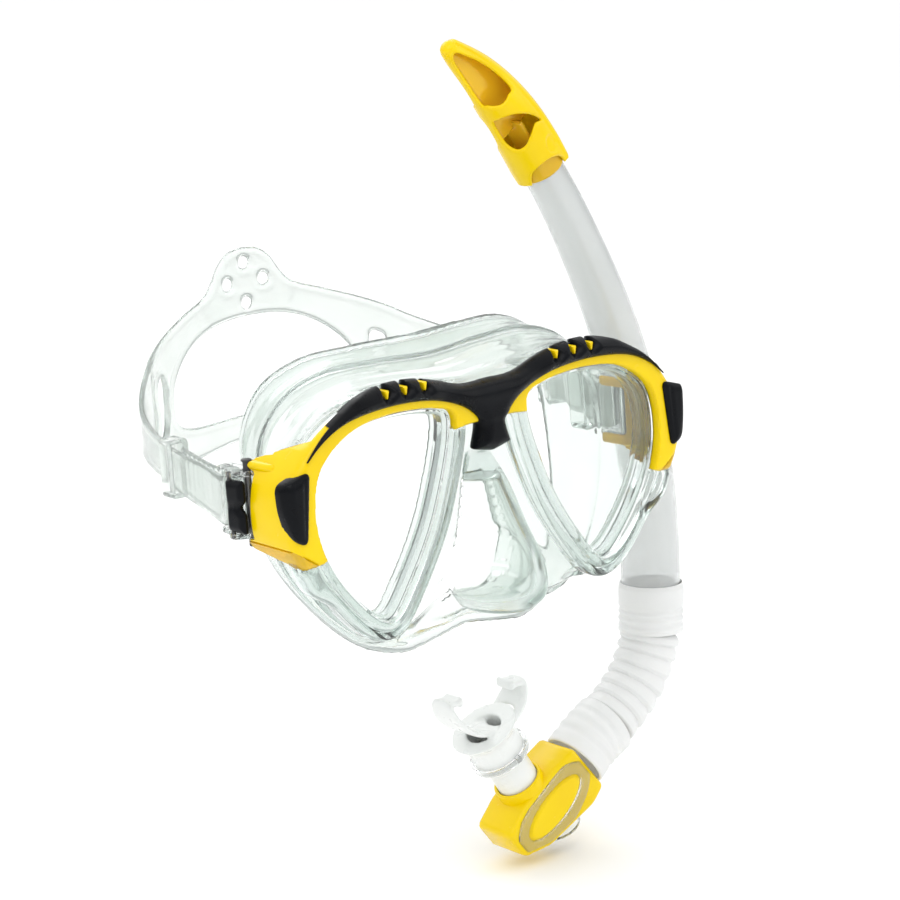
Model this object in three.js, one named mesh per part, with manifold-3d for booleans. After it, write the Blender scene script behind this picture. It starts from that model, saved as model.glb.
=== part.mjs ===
// Twin-lens snorkelling mask with its head strap and a snorkel clipped to the strap.
// Millimetres. +X is the wearer's left, -Y is the way the wearer looks, +Z is up.
// The origin is the centre of the face seal, so the lenses stand in front of it at negative Y.
import * as THREE from "three";
import { mergeVertices } from "three/addons/utils/BufferGeometryUtils.js";
import Module from "manifold-3d";

const wasm = await Module();
wasm.setup();

// ---- driving dimensions -------------------------------------------------------------------
const GAP = 0.3; // clearance kept between touching pieces
const FRONT = -47.5; // front face of the clear lens rings
const RING_BACK = -37; // back face of the lens rings
const RING_WIDTH = 7; // width of a ring around its lens
const LENS_THICKNESS = 4;
const LENS_RECESS = 1.2; // lens face behind the ring face
const LEDGE = 2; // ring ledge behind the edge of the lens
const TRIM_FRONT = -48.6; // front face of the coloured frame
const TRIM_BACK = -45.3; // back of its thin part, over the rings
const WING_BACK = -27; // rear edge of the side wings
const BROW_FRONT = -52.2; // front face of the brow cover
const BROW_BACK = -43;
const PAD_FRONT = -50.6;
const PAD_BACK = -39;
const WING_START = 76; // x where the frame grows back into the side wing
const SKIRT_FRONT = RING_BACK + GAP;
const SKIRT_WALL = 2.2;

const BUCKLE_Z = 8; // middle height of the buckles and of the strap ends
const PIVOT = new THREE.Vector2(86, -21); // plan place of the buckle pin
const ROLLER = new THREE.Vector2(86, -9.5); // plan place of the strap roller
const BUCKLE_HALF = 9.8; // half height between the buckle's cheeks
const CHEEK = 2; // thickness of the buckle's cheeks
const PIN_R = 1.5;
const ARM = 3; // thickness of the fork arms that hold the buckle pin
const ARM_HALF = BUCKLE_HALF + CHEEK + GAP; // inner face of the fork arms from the middle height
const ROLLER_R = 2.2;
const STUB_R = 1; // ends of the roller
const LEVER_PIN = new THREE.Vector2(91.8, -18.4); // plan place of the lever pin
const LEVER_PIN_R = 0.8;
const TIGHT = 0.1; // clearance of a pin that is pressed in
const STRAP_THICKNESS = 2;
const STRAP_HALF_WIDTH = 88; // half width of the strap loop in plan
const STRAP_DEPTH = 88; // depth of its rounded back
const STRAP_SQUARENESS = 2.2; // exponent of the plan curve
const STRAP_SHOULDER = 8; // Y where the straight sides turn into the rounded back
const BAND_START = 24; // Y where the fixed band takes over from the strap ends
const END_HALF = 9; // half height of the strap where it wraps the roller
const WRAP_R = 4.4;

const TUBE_Y = 2; // plane of the snorkel
const TUBE_WALL = 1.5;
const TUBE_STEPS = 16;
const TUBE_TOP_R = 7.8;
const TUBE_BOTTOM_R = 11.8;
const HOSE_R = 11.6;
const HOSE_WALL = 1.6;
const CUFF_R = 12.9;
const CUFF_WALL = 1.5;
const RING_T = 0.61; // where the tube passes the keeper ring, as a fraction of its path
const KEEPER_PIN_R = 1.8;
const GUARD_WALL = 1.6;
const HOUSING_HALF = 10.5; // half depth of the mouth housing
const HOUSING_WALL = 2;
const INLET_R = 9.4;
const SPIGOT_R = 8.2;
const SPIGOT_WALL = 1.5;
const DRAIN_R = 4.6;
const PURGE_R = 8.6;
const FLANGE_R = 20;
const FLANGE_WALL = 2.4;
const FLANGE_HALF = 10;
const SLEEVE_R = SPIGOT_R + 2.2;
const THROUGH = 30; // reach of a cutting tool past the piece that it cuts

// ---- outlines in the front plane (x, z), for the wearer's left ------------------------------
const LENS_POINTS = [
  [17.3, 28.5], [24, 31.8], [45, 33.6], [62, 30.4], [74.5, 20.5], [77.6, 4], [73.5, -12],
  [63, -28], [52.5, -37.6], [47.5, -37.8], [38, -26.5], [25, -3.5],
];
const TRIM_POINTS = [
  [-1, 37.5], [18, 38.2], [30, 40.6], [46, 41.6], [58, 40.4], [70, 35], [80, 27.5], [87, 18],
  [89.3, 6], [88.4, -4], [84, -12], [76, -11], [60, 0], [30, 20], [14, 23.5], [6.4, 24], [-1, 24],
];
const BROW_POINTS = [
  [-1, 38.4], [12, 38.6], [23, 42], [33, 44.4], [46, 44.8], [57, 42.4], [62, 40], [73, 33.2],
  [84, 22], [74.5, 30.2], [64, 35], [46, 37.2], [28, 36], [17, 32.8], [9.5, 28.5], [6.2, 24],
  [8.2, 14.6], [-1, 12.4],
];
const NOTCHES = [29.8, 38.2, 46.2]; // x of the three grip notches on each brow
const NOTCH_FLOOR = 41.9;
const PAD_POINTS = [[80.2, 21.4], [91, 18], [90.4, -0.5], [83.4, -2.2]];
const WING_PROFILE = [
  [-50, 33], [-31, 22.5], [WING_BACK, 17], [WING_BACK, 0], [-37, -9], [-50, -13],
]; // (y, z)
const FORK_PLAN = [
  [84.6, -35], [88, -35], [89, -30], [89, -21], [87.6, -18.4], [84.4, -18.4], [83.4, -21], [83.4, -26],
]; // (x, y)
const BUCKLE_PLAN = [
  [83.4, -22.6], [86, -24], [89.4, -23], [92.9, -20], [93.1, -17], [90.2, -15], [89.6, -8], [88, -6.6],
  [84, -6.6], [82.6, -8.5], [82.6, -21],
]; // (x, y)
const LEVER_PLAN = [[90.4, -25.4], [92.4, -25.8], [93.6, -18.4], [92.8, -12.2], [90.9, -12.4], [90.3, -18]];

// ---- small helpers ---------------------------------------------------------------------------
const vec = (x, y, z) => new THREE.Vector3(x, y, z);

// A closed geometry as a manifold solid.
function solid(geometry) {
  const bare = geometry.clone();
  bare.deleteAttribute("normal");
  bare.deleteAttribute("uv");
  const merged = mergeVertices(bare, 1e-4);
  return new wasm.Manifold(new wasm.Mesh({
    numProp: 3,
    vertProperties: new Float32Array(merged.attributes.position.array),
    triVerts: new Uint32Array(merged.index.array),
  }));
}

// The geometry of a manifold solid.
function geometryOf(manifold) {
  const mesh = manifold.getMesh();
  const geometry = new THREE.BufferGeometry();
  geometry.setAttribute("position", new THREE.BufferAttribute(new Float32Array(mesh.vertProperties), 3));
  geometry.setIndex(new THREE.BufferAttribute(new Uint32Array(mesh.triVerts), 1));
  return geometry;
}

// The same solid on the wearer's other side.
function mirrored(manifold) {
  const geometry = geometryOf(manifold);
  geometry.scale(-1, 1, 1);
  const index = geometry.index.array;
  for (let i = 0; i < index.length; i += 3) [index[i], index[i + 1]] = [index[i + 1], index[i]];
  return solid(geometry);
}

const onSide = (manifold, side) => (side > 0 ? manifold : mirrored(manifold));

// A closed smooth outline through a few points.
function smooth(points, count) {
  const curve = new THREE.CatmullRomCurve3(points.map(([a, b]) => vec(a, b, 0)), true, "centripetal");
  return curve.getSpacedPoints(count).slice(0, count).map((p) => new THREE.Vector2(p.x, p.y));
}

const outline = (points) => points.map(([a, b]) => new THREE.Vector2(a, b));

// The outline moved outwards by a distance.
function grown(points, distance) {
  const clockwise = THREE.ShapeUtils.isClockWise(points) ? -1 : 1;
  return points.map((point, i) => {
    const before = points[(i + points.length - 1) % points.length];
    const after = points[(i + 1) % points.length];
    const a = point.clone().sub(before).normalize();
    const b = after.clone().sub(point).normalize();
    const normal = new THREE.Vector2(a.y + b.y, -a.x - b.x).normalize();
    const stretch = Math.max(0.5, normal.dot(new THREE.Vector2(a.y, -a.x)));
    return point.clone().addScaledVector(normal, (clockwise * distance) / stretch);
  });
}

// An (x, z) outline as a solid from one y to another.
function plate(points, yFront, yBack) {
  const options = { depth: yBack - yFront, bevelEnabled: false };
  const geometry = new THREE.ExtrudeGeometry(new THREE.Shape(points), options);
  geometry.rotateX(Math.PI / 2);
  geometry.translate(0, yBack, 0);
  return solid(geometry);
}

// An (x, y) plan outline as a solid from one z to another.
function slab(points, zLow, zHigh) {
  const options = { depth: zHigh - zLow, bevelEnabled: false };
  const geometry = new THREE.ExtrudeGeometry(new THREE.Shape(points), options);
  geometry.translate(0, 0, zLow);
  return solid(geometry);
}

function box(low, high) {
  const size = high.clone().sub(low);
  const geometry = new THREE.BoxGeometry(size.x, size.y, size.z);
  geometry.translate(low.x + size.x / 2, low.y + size.y / 2, low.z + size.z / 2);
  return solid(geometry);
}

function rod(from, to, radius, sides = 12) {
  const along = to.clone().sub(from);
  const geometry = new THREE.CylinderGeometry(radius, radius, along.length(), sides);
  const turn = new THREE.Quaternion().setFromUnitVectors(vec(0, 1, 0), along.clone().normalize());
  geometry.applyQuaternion(turn);
  geometry.translate(...from.clone().add(to).multiplyScalar(0.5).toArray());
  return solid(geometry);
}

// An upright cutting tool for a hole at a place in plan.
function upright(place, radius) {
  return rod(vec(place.x, place.y, -THROUGH), vec(place.x, place.y, THROUGH + BUCKLE_Z), radius);
}

// An upright pin at a place in plan, centred on the buckle's middle height.
function pinAt(place, halfLength, radius) {
  const [low, high] = [BUCKLE_Z - halfLength, BUCKLE_Z + halfLength];
  return rod(vec(place.x, place.y, low), vec(place.x, place.y, high), radius);
}

// A closed skin over loops that all have the same number of points.
function skin(loops) {
  const count = loops[0].length;
  const vertices = loops.flat();
  const centre = (loop) => loop.reduce((sum, p) => sum.add(p), vec(0, 0, 0)).divideScalar(count);
  const faces = [];
  for (let i = 0; i + 1 < loops.length; i += 1) {
    for (let j = 0; j < count; j += 1) {
      const k = (j + 1) % count;
      const [a, b, c, d] = [i * count + j, i * count + k, (i + 1) * count + j, (i + 1) * count + k];
      faces.push([a, b, d], [a, d, c]);
    }
  }
  const last = (loops.length - 1) * count;
  vertices.push(centre(loops[0]), centre(loops[loops.length - 1]));
  for (let j = 0; j < count; j += 1) {
    const k = (j + 1) % count;
    faces.push([k, j, vertices.length - 2], [last + j, last + k, vertices.length - 1]);
  }
  const signed = ([a, b, c]) => vertices[a].dot(vertices[b].clone().cross(vertices[c]));
  const volume = faces.reduce((sum, face) => sum + signed(face), 0);
  if (volume < 0) faces.forEach((face) => face.reverse());
  const geometry = new THREE.BufferGeometry();
  const numbers = vertices.flatMap((p) => p.toArray());
  geometry.setAttribute("position", new THREE.Float32BufferAttribute(numbers, 3));
  geometry.setIndex(faces.flat());
  return solid(geometry);
}

// A round bar along a curve in the snorkel's plane, with a radius that changes from end to end.
function bar(curve, radiusAt, steps, sides = 14, from = 0, to = 1) {
  const loops = [];
  for (let i = 0; i <= steps; i += 1) {
    const t = from + ((to - from) * i) / steps;
    const point = curve.getPoint(t);
    const across = curve.getTangent(t).cross(vec(0, 1, 0)).normalize();
    const loop = [];
    for (let j = 0; j < sides; j += 1) {
      const angle = (2 * Math.PI * j) / sides;
      loop.push(point.clone().addScaledVector(across, radiusAt(t) * Math.cos(angle))
        .add(vec(0, radiusAt(t) * Math.sin(angle), 0)));
    }
    loops.push(loop);
  }
  return skin(loops);
}

const inPlane = (points) => new THREE.CatmullRomCurve3(points.map(([x, z]) => vec(x, TUBE_Y, z)));

// ---- materials -------------------------------------------------------------------------------
const material = (color, roughness, opacity = 1) => new THREE.MeshStandardMaterial({
  color, roughness, metalness: 0, opacity, transparent: opacity < 1,
});
const LOOKS = {
  glass: () => material(0xf4faf8, 0.03, 0.25),
  clear: () => material(0xe6efe9, 0.12, 0.5),
  silicone: () => material(0xdfe9e2, 0.3, 0.55),
  frosted: () => material(0xf0f2ee, 0.4, 0.7),
  yellow: () => material(0xf6c70a, 0.32),
  black: () => material(0x1d1f1e, 0.55),
  amber: () => material(0xd98a10, 0.3, 0.8),
};

const model = new THREE.Group();
model.name = "snorkel_mask";

function add(name, manifold, look) {
  const mesh = new THREE.Mesh(geometryOf(manifold), LOOKS[look]());
  mesh.name = name;
  model.add(mesh);
}

// ---- lens rings, coloured frame, brow cover and pads -----------------------------------------
const lensOutline = smooth(LENS_POINTS, 36);
const trimOutline = outline(TRIM_POINTS);

function trimHalf() {
  const face = plate(trimOutline, TRIM_FRONT, TRIM_BACK);
  const options = { depth: 20, bevelEnabled: false };
  const profile = new THREE.ExtrudeGeometry(new THREE.Shape(outline(WING_PROFILE)), options);
  profile.applyMatrix4(new THREE.Matrix4().makeBasis(vec(0, 1, 0), vec(0, 0, 1), vec(1, 0, 0)));
  profile.translate(WING_START, 0, 0);
  const wing = plate(trimOutline, TRIM_BACK - 0.5, WING_BACK)
    .subtract(plate(grown(lensOutline, RING_WIDTH + GAP), TRIM_BACK - 1, WING_BACK + 1))
    .intersect(solid(profile));
  return face.add(wing).subtract(plate(grown(lensOutline, 0.5), -60, 0)).add(forkArms());
}

// Two arms behind each wing, which hold the buckle pin top and bottom.
function forkArms() {
  const plan = outline(FORK_PLAN);
  const upper = slab(plan, BUCKLE_Z + ARM_HALF, BUCKLE_Z + ARM_HALF + ARM);
  const lower = slab(plan, BUCKLE_Z - ARM_HALF - ARM, BUCKLE_Z - ARM_HALF);
  return upper.add(lower).subtract(upright(PIVOT, PIN_R + TIGHT));
}

function lensRing() {
  return plate(grown(lensOutline, RING_WIDTH), FRONT, RING_BACK)
    .subtract(plate(lensOutline, FRONT - 1, FRONT + LENS_RECESS + LENS_THICKNESS + GAP))
    .subtract(plate(grown(lensOutline, -LEDGE), FRONT - 1, RING_BACK + 1))
    .subtract(plate(grown(trimOutline, GAP), FRONT - 2, TRIM_BACK + GAP));
}

function browHalf() {
  let cover = plate(outline(BROW_POINTS), BROW_FRONT, BROW_BACK)
    .subtract(plate(grown(trimOutline, GAP), TRIM_FRONT - GAP, 0))
    .subtract(plate(grown(lensOutline, RING_WIDTH + GAP), FRONT - GAP, 0));
  for (const x of NOTCHES) {
    cover = cover.subtract(box(vec(x - 1.2, -60, NOTCH_FLOOR), vec(x + 1.2, 0, 60)));
  }
  return cover;
}

function sidePad() {
  return plate(outline(PAD_POINTS), PAD_FRONT, PAD_BACK)
    .subtract(plate(grown(trimOutline, GAP), TRIM_FRONT - GAP, 0))
    .subtract(plate(grown(lensOutline, RING_WIDTH + GAP), TRIM_FRONT - GAP, 0));
}

const bothSides = (half) => half.add(mirrored(half));

add("yellow_frame", bothSides(trimHalf()), "yellow");
add("brow_cover", bothSides(browHalf()), "black");
for (const [side, word] of [[1, "left"], [-1, "right"]]) {
  add(`lens_ring_${word}`, onSide(lensRing(), side), "clear");
  const lens = plate(grown(lensOutline, -GAP), FRONT + LENS_RECESS, FRONT + LENS_RECESS + LENS_THICKNESS);
  add(`lens_${word}`, onSide(lens, side), "glass");
  add(`side_pad_${word}`, onSide(sidePad(), side), "black");
}

// ---- skirt with nose pocket ------------------------------------------------------------------
const SKIRT_FRONT_EDGE = [
  [0, 36], [25, 39], [46, 40], [64, 36], [78, 25], [83, 6], [79, -15], [68, -33], [50, -45.5], [36, -38],
  [18, -22], [0, -16],
]; // (x, z)
const SKIRT_REAR_EDGE = [
  [0, -4, 48.5], [25, -1, 48.4], [46, 2, 46.8], [61, 4, 39.5], [69, 5, 25], [70.5, 3, 4], [67, -2, -18],
  [58, -10, -37], [44, -20, -53], [28, -24, -58.5], [13, -25, -56.5], [0, -25, -54.5],
]; // (x, y, z)
const NOSE_SECTIONS = [
  { z: 11, half: 4, front: -44, back: -34 },
  { z: 0, half: 8, front: -51, back: -33 },
  { z: -15, half: 11.5, front: -58, back: -30 },
  { z: -29, half: 15, front: -65, back: -27 },
  { z: -39, half: 15.5, front: -65, back: -26 },
  { z: -44, half: 12, front: -60, back: -27 },
];

function skirtLoop(blend, shrink, yShift) {
  const half = SKIRT_FRONT_EDGE.map(([x, z], i) => vec(x, SKIRT_FRONT, z)
    .lerp(vec(...SKIRT_REAR_EDGE[i]), blend).multiply(vec(shrink, 1, shrink)).add(vec(0, yShift, 0)));
  const other = half.slice(1, -1).reverse().map((p) => vec(-p.x, p.y, p.z));
  return new THREE.CatmullRomCurve3([...half, ...other], true, "centripetal").getPoints(44).slice(0, 44);
}

function skirt() {
  const outer = skin([0, 0.25, 0.6, 1].map((blend) => skirtLoop(blend, 1, 0)));
  const inner = skin([0, 0.25, 0.6, 1, 1].map((blend, i) => skirtLoop(blend, 0.955, i < 4 ? SKIRT_WALL : 8)));
  const noseLoop = ({ z, half, front, back }, wall) => {
    const loop = [];
    for (let j = 0; j < 20; j += 1) {
      const angle = (2 * Math.PI * j) / 20;
      const y = (front + back) / 2 + ((back - front) / 2 - wall) * Math.cos(angle) + wall * 2;
      loop.push(vec((half - wall) * Math.sin(angle), y, z + wall));
    }
    return loop;
  };
  const noseOuter = skin(NOSE_SECTIONS.map((section) => noseLoop(section, 0)));
  const noseInner = skin(NOSE_SECTIONS.slice(1).map((section) => noseLoop(section, 1.8)));
  let shell = outer.add(noseOuter).subtract(inner).subtract(noseInner);
  for (const side of [1, -1]) {
    shell = shell.subtract(onSide(plate(grown(lensOutline, -LEDGE - 0.5), -45, -30), side));
  }
  return shell;
}
add("skirt", skirt(), "silicone");

// ---- head strap ------------------------------------------------------------------------------
// Band edges by distance along the strap from the middle of the back: [distance, bottom, top].
const BAND_EDGES = [
  [0, -2.5, 71.5], [7, -2.7, 70.3], [12, -3, 66.5], [16, -3.5, 60.5], [20, -4, 56], [33, -5, 51],
  [47, -4, 46], [58, -1, 41.5], [68, 4, 36.5], [86, 9.5, 30], [109, 9.5, 25.5], [125, 7.3, 22.4],
  [141, 3, 19.6], [160, -1, 17],
];
const OVAL_POINTS = [[0, 45], [20, 42.5], [34, 35], [42.5, 24], [41.5, 12], [34, 8], [0, 7]];
const SLOT_POINTS = [[-2.6, 12], [1.6, 10], [1.2, -4], [3.4, -12.5], [-1.6, -9], [-3.4, 0]];
const SLOT_CENTRE = [52, 19.5];
const STRAP_HOLES = [[0, 65.6], [-8.4, 58.2], [8.4, 58.2], [0, 50]];
const STRAP_HOLE_R = 2.4;

// Plan curve of the strap from the middle of the back (0) to the buckle, sampled by length.
function planCurve() {
  const points = [];
  for (let i = 0; i <= 60; i += 1) {
    const angle = (Math.PI / 2) * (i / 60);
    points.push(vec(STRAP_HALF_WIDTH * Math.sin(angle) ** (2 / STRAP_SQUARENESS),
      STRAP_SHOULDER + STRAP_DEPTH * Math.cos(angle) ** (2 / STRAP_SQUARENESS), 0));
  }
  points.push(vec(ROLLER.x + 2, ROLLER.y, 0));
  return new THREE.CatmullRomCurve3(points, false, "centripetal");
}

function edgeAt(distance, column) {
  const i = Math.max(0, BAND_EDGES.findIndex(([d]) => d >= distance) - 1);
  const [from, to] = [BAND_EDGES[i], BAND_EDGES[i + 1]];
  return THREE.MathUtils.lerp(from[column], to[column], (distance - from[0]) / (to[0] - from[0]));
}

function band() {
  const curve = planCurve();
  curve.arcLengthDivisions = 600;
  const length = curve.getLength();
  const half = [];
  for (let distance = 0; distance < length; distance += distance < 24 ? 3 : 5) {
    const point = curve.getPointAt(distance / length);
    if (point.y < BAND_START) break;
    half.push({ point, tangent: curve.getTangentAt(distance / length), distance });
  }
  const loopAt = ({ point, tangent, distance }, side) => {
    const normal = vec(-tangent.y, tangent.x, 0).multiplyScalar(-STRAP_THICKNESS / 2);
    const [low, high] = [edgeAt(distance, 1), edgeAt(distance, 2)];
    return [[1, low], [1, high], [-1, high], [-1, low]].map(([sign, z]) => {
      const place = point.clone().addScaledVector(normal, sign);
      return vec(side * place.x, place.y, z);
    });
  };
  const left = half.map((station) => loopAt(station, 1));
  const right = half.slice(1).map((station) => loopAt(station, -1)).reverse();
  let strap = skin([...right, ...left]);
  const oval = [...OVAL_POINTS, ...OVAL_POINTS.slice(1, -1).reverse().map(([x, z]) => [-x, z])];
  strap = strap.subtract(plate(smooth(oval, 36), 40, 120));
  for (const side of [1, -1]) {
    const slot = SLOT_POINTS.map(([x, z]) => [SLOT_CENTRE[0] + x, SLOT_CENTRE[1] + z]);
    strap = strap.subtract(onSide(plate(smooth(slot, 16), 40, 120), side));
  }
  for (const [x, z] of STRAP_HOLES) {
    strap = strap.subtract(rod(vec(x, 80, z), vec(x, 110, z), STRAP_HOLE_R, 14));
  }
  return strap;
}
add("strap_band", band(), "silicone");

// The free end of the strap: it wraps the roller, and its tail lies inside the strap.
function strapEnd() {
  const outerX = STRAP_HALF_WIDTH + STRAP_THICKNESS / 2;
  const innerX = outerX - STRAP_THICKNESS;
  const section = (x, y, distance) => [[innerX, 1], [outerX, 1], [outerX, 2], [innerX, 2]]
    .map(([edge, column]) => vec(edge + x, y, edgeAt(distance, column)));
  const rear = section(-0.6, BAND_START - GAP, 125);
  const run = skin([section(0, ROLLER.y + 1.4, 160), section(0, 8, 141), rear]);
  const wrap = pinAt(ROLLER, END_HALF, WRAP_R);
  const inwards = vec(-STRAP_THICKNESS - 2 * GAP, 0, 0);
  const under = (x, y, distance) => section(x, y, distance).map((p) => p.add(inwards));
  const tail = skin([under(-1.6, ROLLER.y, 160), under(0, 8, 141), under(-0.4, BAND_START - 5.5, 128)]);
  return run.add(wrap).add(tail).subtract(upright(ROLLER, ROLLER_R + GAP));
}

// A loop that keeps the strap's tail against the strap.
function tailKeeper() {
  const [xIn, xOut] = [STRAP_HALF_WIDTH - 5.6, STRAP_HALF_WIDTH + 2.6];
  const [yFront, yBack] = [BAND_START - 5, BAND_START + 2.2];
  const shell = box(vec(xIn, yFront, 3.6), vec(xOut, yBack, 24.6));
  const inside = box(vec(xIn + 1.6, yFront - 1, 5.2), vec(xOut - 1.3, yBack + 1, 23));
  return shell.subtract(inside);
}

// ---- buckles ---------------------------------------------------------------------------------
function buckle() {
  const plan = outline(BUCKLE_PLAN);
  const top = slab(plan, BUCKLE_Z + BUCKLE_HALF, BUCKLE_Z + BUCKLE_HALF + CHEEK);
  const bottom = slab(plan, BUCKLE_Z - BUCKLE_HALF - CHEEK, BUCKLE_Z - BUCKLE_HALF);
  return top.add(bottom).add(pinAt(PIVOT, BUCKLE_HALF + CHEEK / 4, 2 * PIN_R))
    .subtract(upright(PIVOT, PIN_R + GAP))
    .subtract(upright(ROLLER, STUB_R + GAP))
    .subtract(upright(LEVER_PIN, LEVER_PIN_R + TIGHT));
}

// A two-lobed press lever: a notch splits its front edge.
function releaseLever() {
  return slab(outline(LEVER_PLAN), BUCKLE_Z - BUCKLE_HALF + 0.5, BUCKLE_Z + BUCKLE_HALF - 0.5)
    .subtract(upright(LEVER_PIN, LEVER_PIN_R + GAP))
    .subtract(box(vec(89, -27, BUCKLE_Z - 1.6), vec(95, -22.6, BUCKLE_Z + 1.6)));
}

function buckleParts(side, word) {
  const stub = BUCKLE_HALF + CHEEK;
  const pin = pinAt(PIVOT, ARM_HALF + ARM, PIN_R - GAP / 2);
  const roller = pinAt(ROLLER, BUCKLE_HALF - GAP, ROLLER_R).add(pinAt(ROLLER, stub, STUB_R));
  const leverPin = pinAt(LEVER_PIN, stub, LEVER_PIN_R);
  const lever = releaseLever();
  add(`buckle_pin_${word}`, onSide(pin, side), "black");
  add(`buckle_${word}`, onSide(buckle(), side), "clear");
  add(`strap_roller_${word}`, onSide(roller, side), "clear");
  add(`lever_pin_${word}`, onSide(leverPin, side), "black");
  add(`release_lever_${word}`, onSide(lever, side), "black");
  add(`strap_end_${word}`, onSide(strapEnd(), side), "silicone");
  add(`tail_keeper_${word}`, onSide(tailKeeper(), side), "silicone");
}
buckleParts(1, "left");
buckleParts(-1, "right");

// ---- snorkel keeper: a loop on the strap, a hinge pin and a ring round the tube ----------------
const tubePath = inPlane([
  [70.6, 101.4], [81, 83], [89.3, 66], [96, 51], [102.4, 34.5], [107.8, 17], [112, -1], [115.2, -25],
  [116, -50], [114.4, -82],
]);
const tubeRadius = (t) => THREE.MathUtils.lerp(TUBE_TOP_R, TUBE_BOTTOM_R, t);
const ringCentre = tubePath.getPoint(RING_T);
const ringAxis = tubePath.getTangent(RING_T);

function strapClip() {
  const [low, high] = [vec(81.6, TUBE_Y - 4, -3.4), vec(91.8, TUBE_Y + 5, 21.4)];
  const inside = box(vec(83.2, -20, -1.6), vec(89.7, 20, 19.8));
  return box(low, high).subtract(inside);
}
add("keeper_strap_clip", strapClip(), "silicone");
add("keeper_pin", rod(vec(92.1, TUBE_Y, BUCKLE_Z), vec(97.4, TUBE_Y, BUCKLE_Z), KEEPER_PIN_R, 16), "clear");

function tubeRing() {
  const ends = [-5, 5].map((step) => ringCentre.clone().addScaledVector(ringAxis, step));
  const bore = [-9, 9].map((step) => ringCentre.clone().addScaledVector(ringAxis, step));
  const lug = box(vec(93.4, TUBE_Y - 3.6, BUCKLE_Z - 3.6), vec(100.5, TUBE_Y + 3.6, BUCKLE_Z + 3.6));
  return rod(...ends, 12.6, 24).add(lug)
    .subtract(rod(...bore, tubeRadius(RING_T) + 0.55, 24))
    .subtract(rod(vec(90, TUBE_Y, BUCKLE_Z), vec(97.8, TUBE_Y, BUCKLE_Z), KEEPER_PIN_R + GAP, 16));
}
add("keeper_tube_ring", tubeRing(), "silicone");

// ---- snorkel barrel --------------------------------------------------------------------------
function tube() {
  return bar(tubePath, tubeRadius, TUBE_STEPS)
    .subtract(bar(extended(tubePath), (t) => tubeRadius(t) - TUBE_WALL, TUBE_STEPS));
}

// The same path with a little more at both ends, for cutting a bore right through.
function extended(curve) {
  const points = curve.points.map((p) => p.clone());
  const first = points[0].clone().sub(points[1]).normalize();
  const last = points[points.length - 1].clone().sub(points[points.length - 2]).normalize();
  points[0].addScaledVector(first, 3);
  points[points.length - 1].addScaledVector(last, 3);
  return new THREE.CatmullRomCurve3(points);
}
add("snorkel_tube", tube(), "clear");

const guardPath = inPlane([[72.4, 97.5], [66.6, 107.5], [57.5, 121], [45.5, 135], [31.5, 147.5]]);
const guardRadius = (t) => 10.6 + 0.6 * Math.sin(Math.PI * t) - 1.4 * t - 6 * t ** 3;
// A hood over the tube's end, with two windows on each side.
function topGuard() {
  const inner = bar(guardPath, (t) => guardRadius(t) - GUARD_WALL, 7, 14, 0.14, 0.9);
  const socket = bar(extended(guardPath), () => TUBE_TOP_R + 0.9, 3, 14, 0, 0.16);
  let hood = bar(guardPath, guardRadius, 9).subtract(inner).subtract(socket);
  for (const [x0, z0, x1, z1] of [[40, 131, 54, 146], [52, 113, 67, 127]]) {
    const window = smooth([[x0, z1 - 5], [x0 + 6, z1], [x1, z0 + 5], [x1 - 6, z0]], 12);
    hood = hood.subtract(plate(grown(window, -0.5), TUBE_Y - THROUGH, TUBE_Y + THROUGH));
  }
  return hood;
}
add("top_guard", topGuard(), "yellow");

// ---- hose, mouth unit and mouthpiece ---------------------------------------------------------
const hosePath = inPlane([[113.8, -91.2], [110.8, -99], [105, -108.4], [97, -116], [88.3, -121.9]]);
const lowerPath = inPlane([[87.6, -122.5], [79.5, -127.3], [71.5, -131.6]]);

function sleeve(path, radius, wall, steps) {
  return bar(path, () => radius, steps).subtract(bar(extended(path), () => radius - wall, steps + 2));
}
const upperCuffPath = inPlane([[115.4, -71.5], [114.8, -80], [113.9, -90.9]]);
const cuffBore = bar(extended(upperCuffPath), () => TUBE_BOTTOM_R + GAP, 4);
add("upper_cuff", bar(upperCuffPath, () => CUFF_R, 3).subtract(cuffBore), "frosted");
add("flex_hose", sleeve(hosePath, HOSE_R, HOSE_WALL, 8), "frosted");
add("lower_cuff", sleeve(lowerPath, CUFF_R, CUFF_WALL, 2), "frosted");

const HOUSING_POINTS = [
  [62.2, -123.9], [76.4, -142.8], [71, -149], [48, -159.5], [35, -160.5], [27.5, -150], [36, -140.5],
  [52, -129.5],
];
const SPIGOT_BASE = vec(43.5, TUBE_Y, -136.8);
const SPIGOT_END = vec(31.4, TUBE_Y, -116.4);
const spigotAxis = SPIGOT_END.clone().sub(SPIGOT_BASE).normalize();

// The purge valve sits in the housing's low face, under a clear cover.
const valveAxis = vec(10.5, 0, -23).normalize();
const valveCentre = vec(59.5, TUBE_Y, -154.25);
const onValve = (step) => valveCentre.clone().addScaledVector(valveAxis, step);
const onSpigot = (step) => SPIGOT_BASE.clone().addScaledVector(spigotAxis, step);

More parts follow.
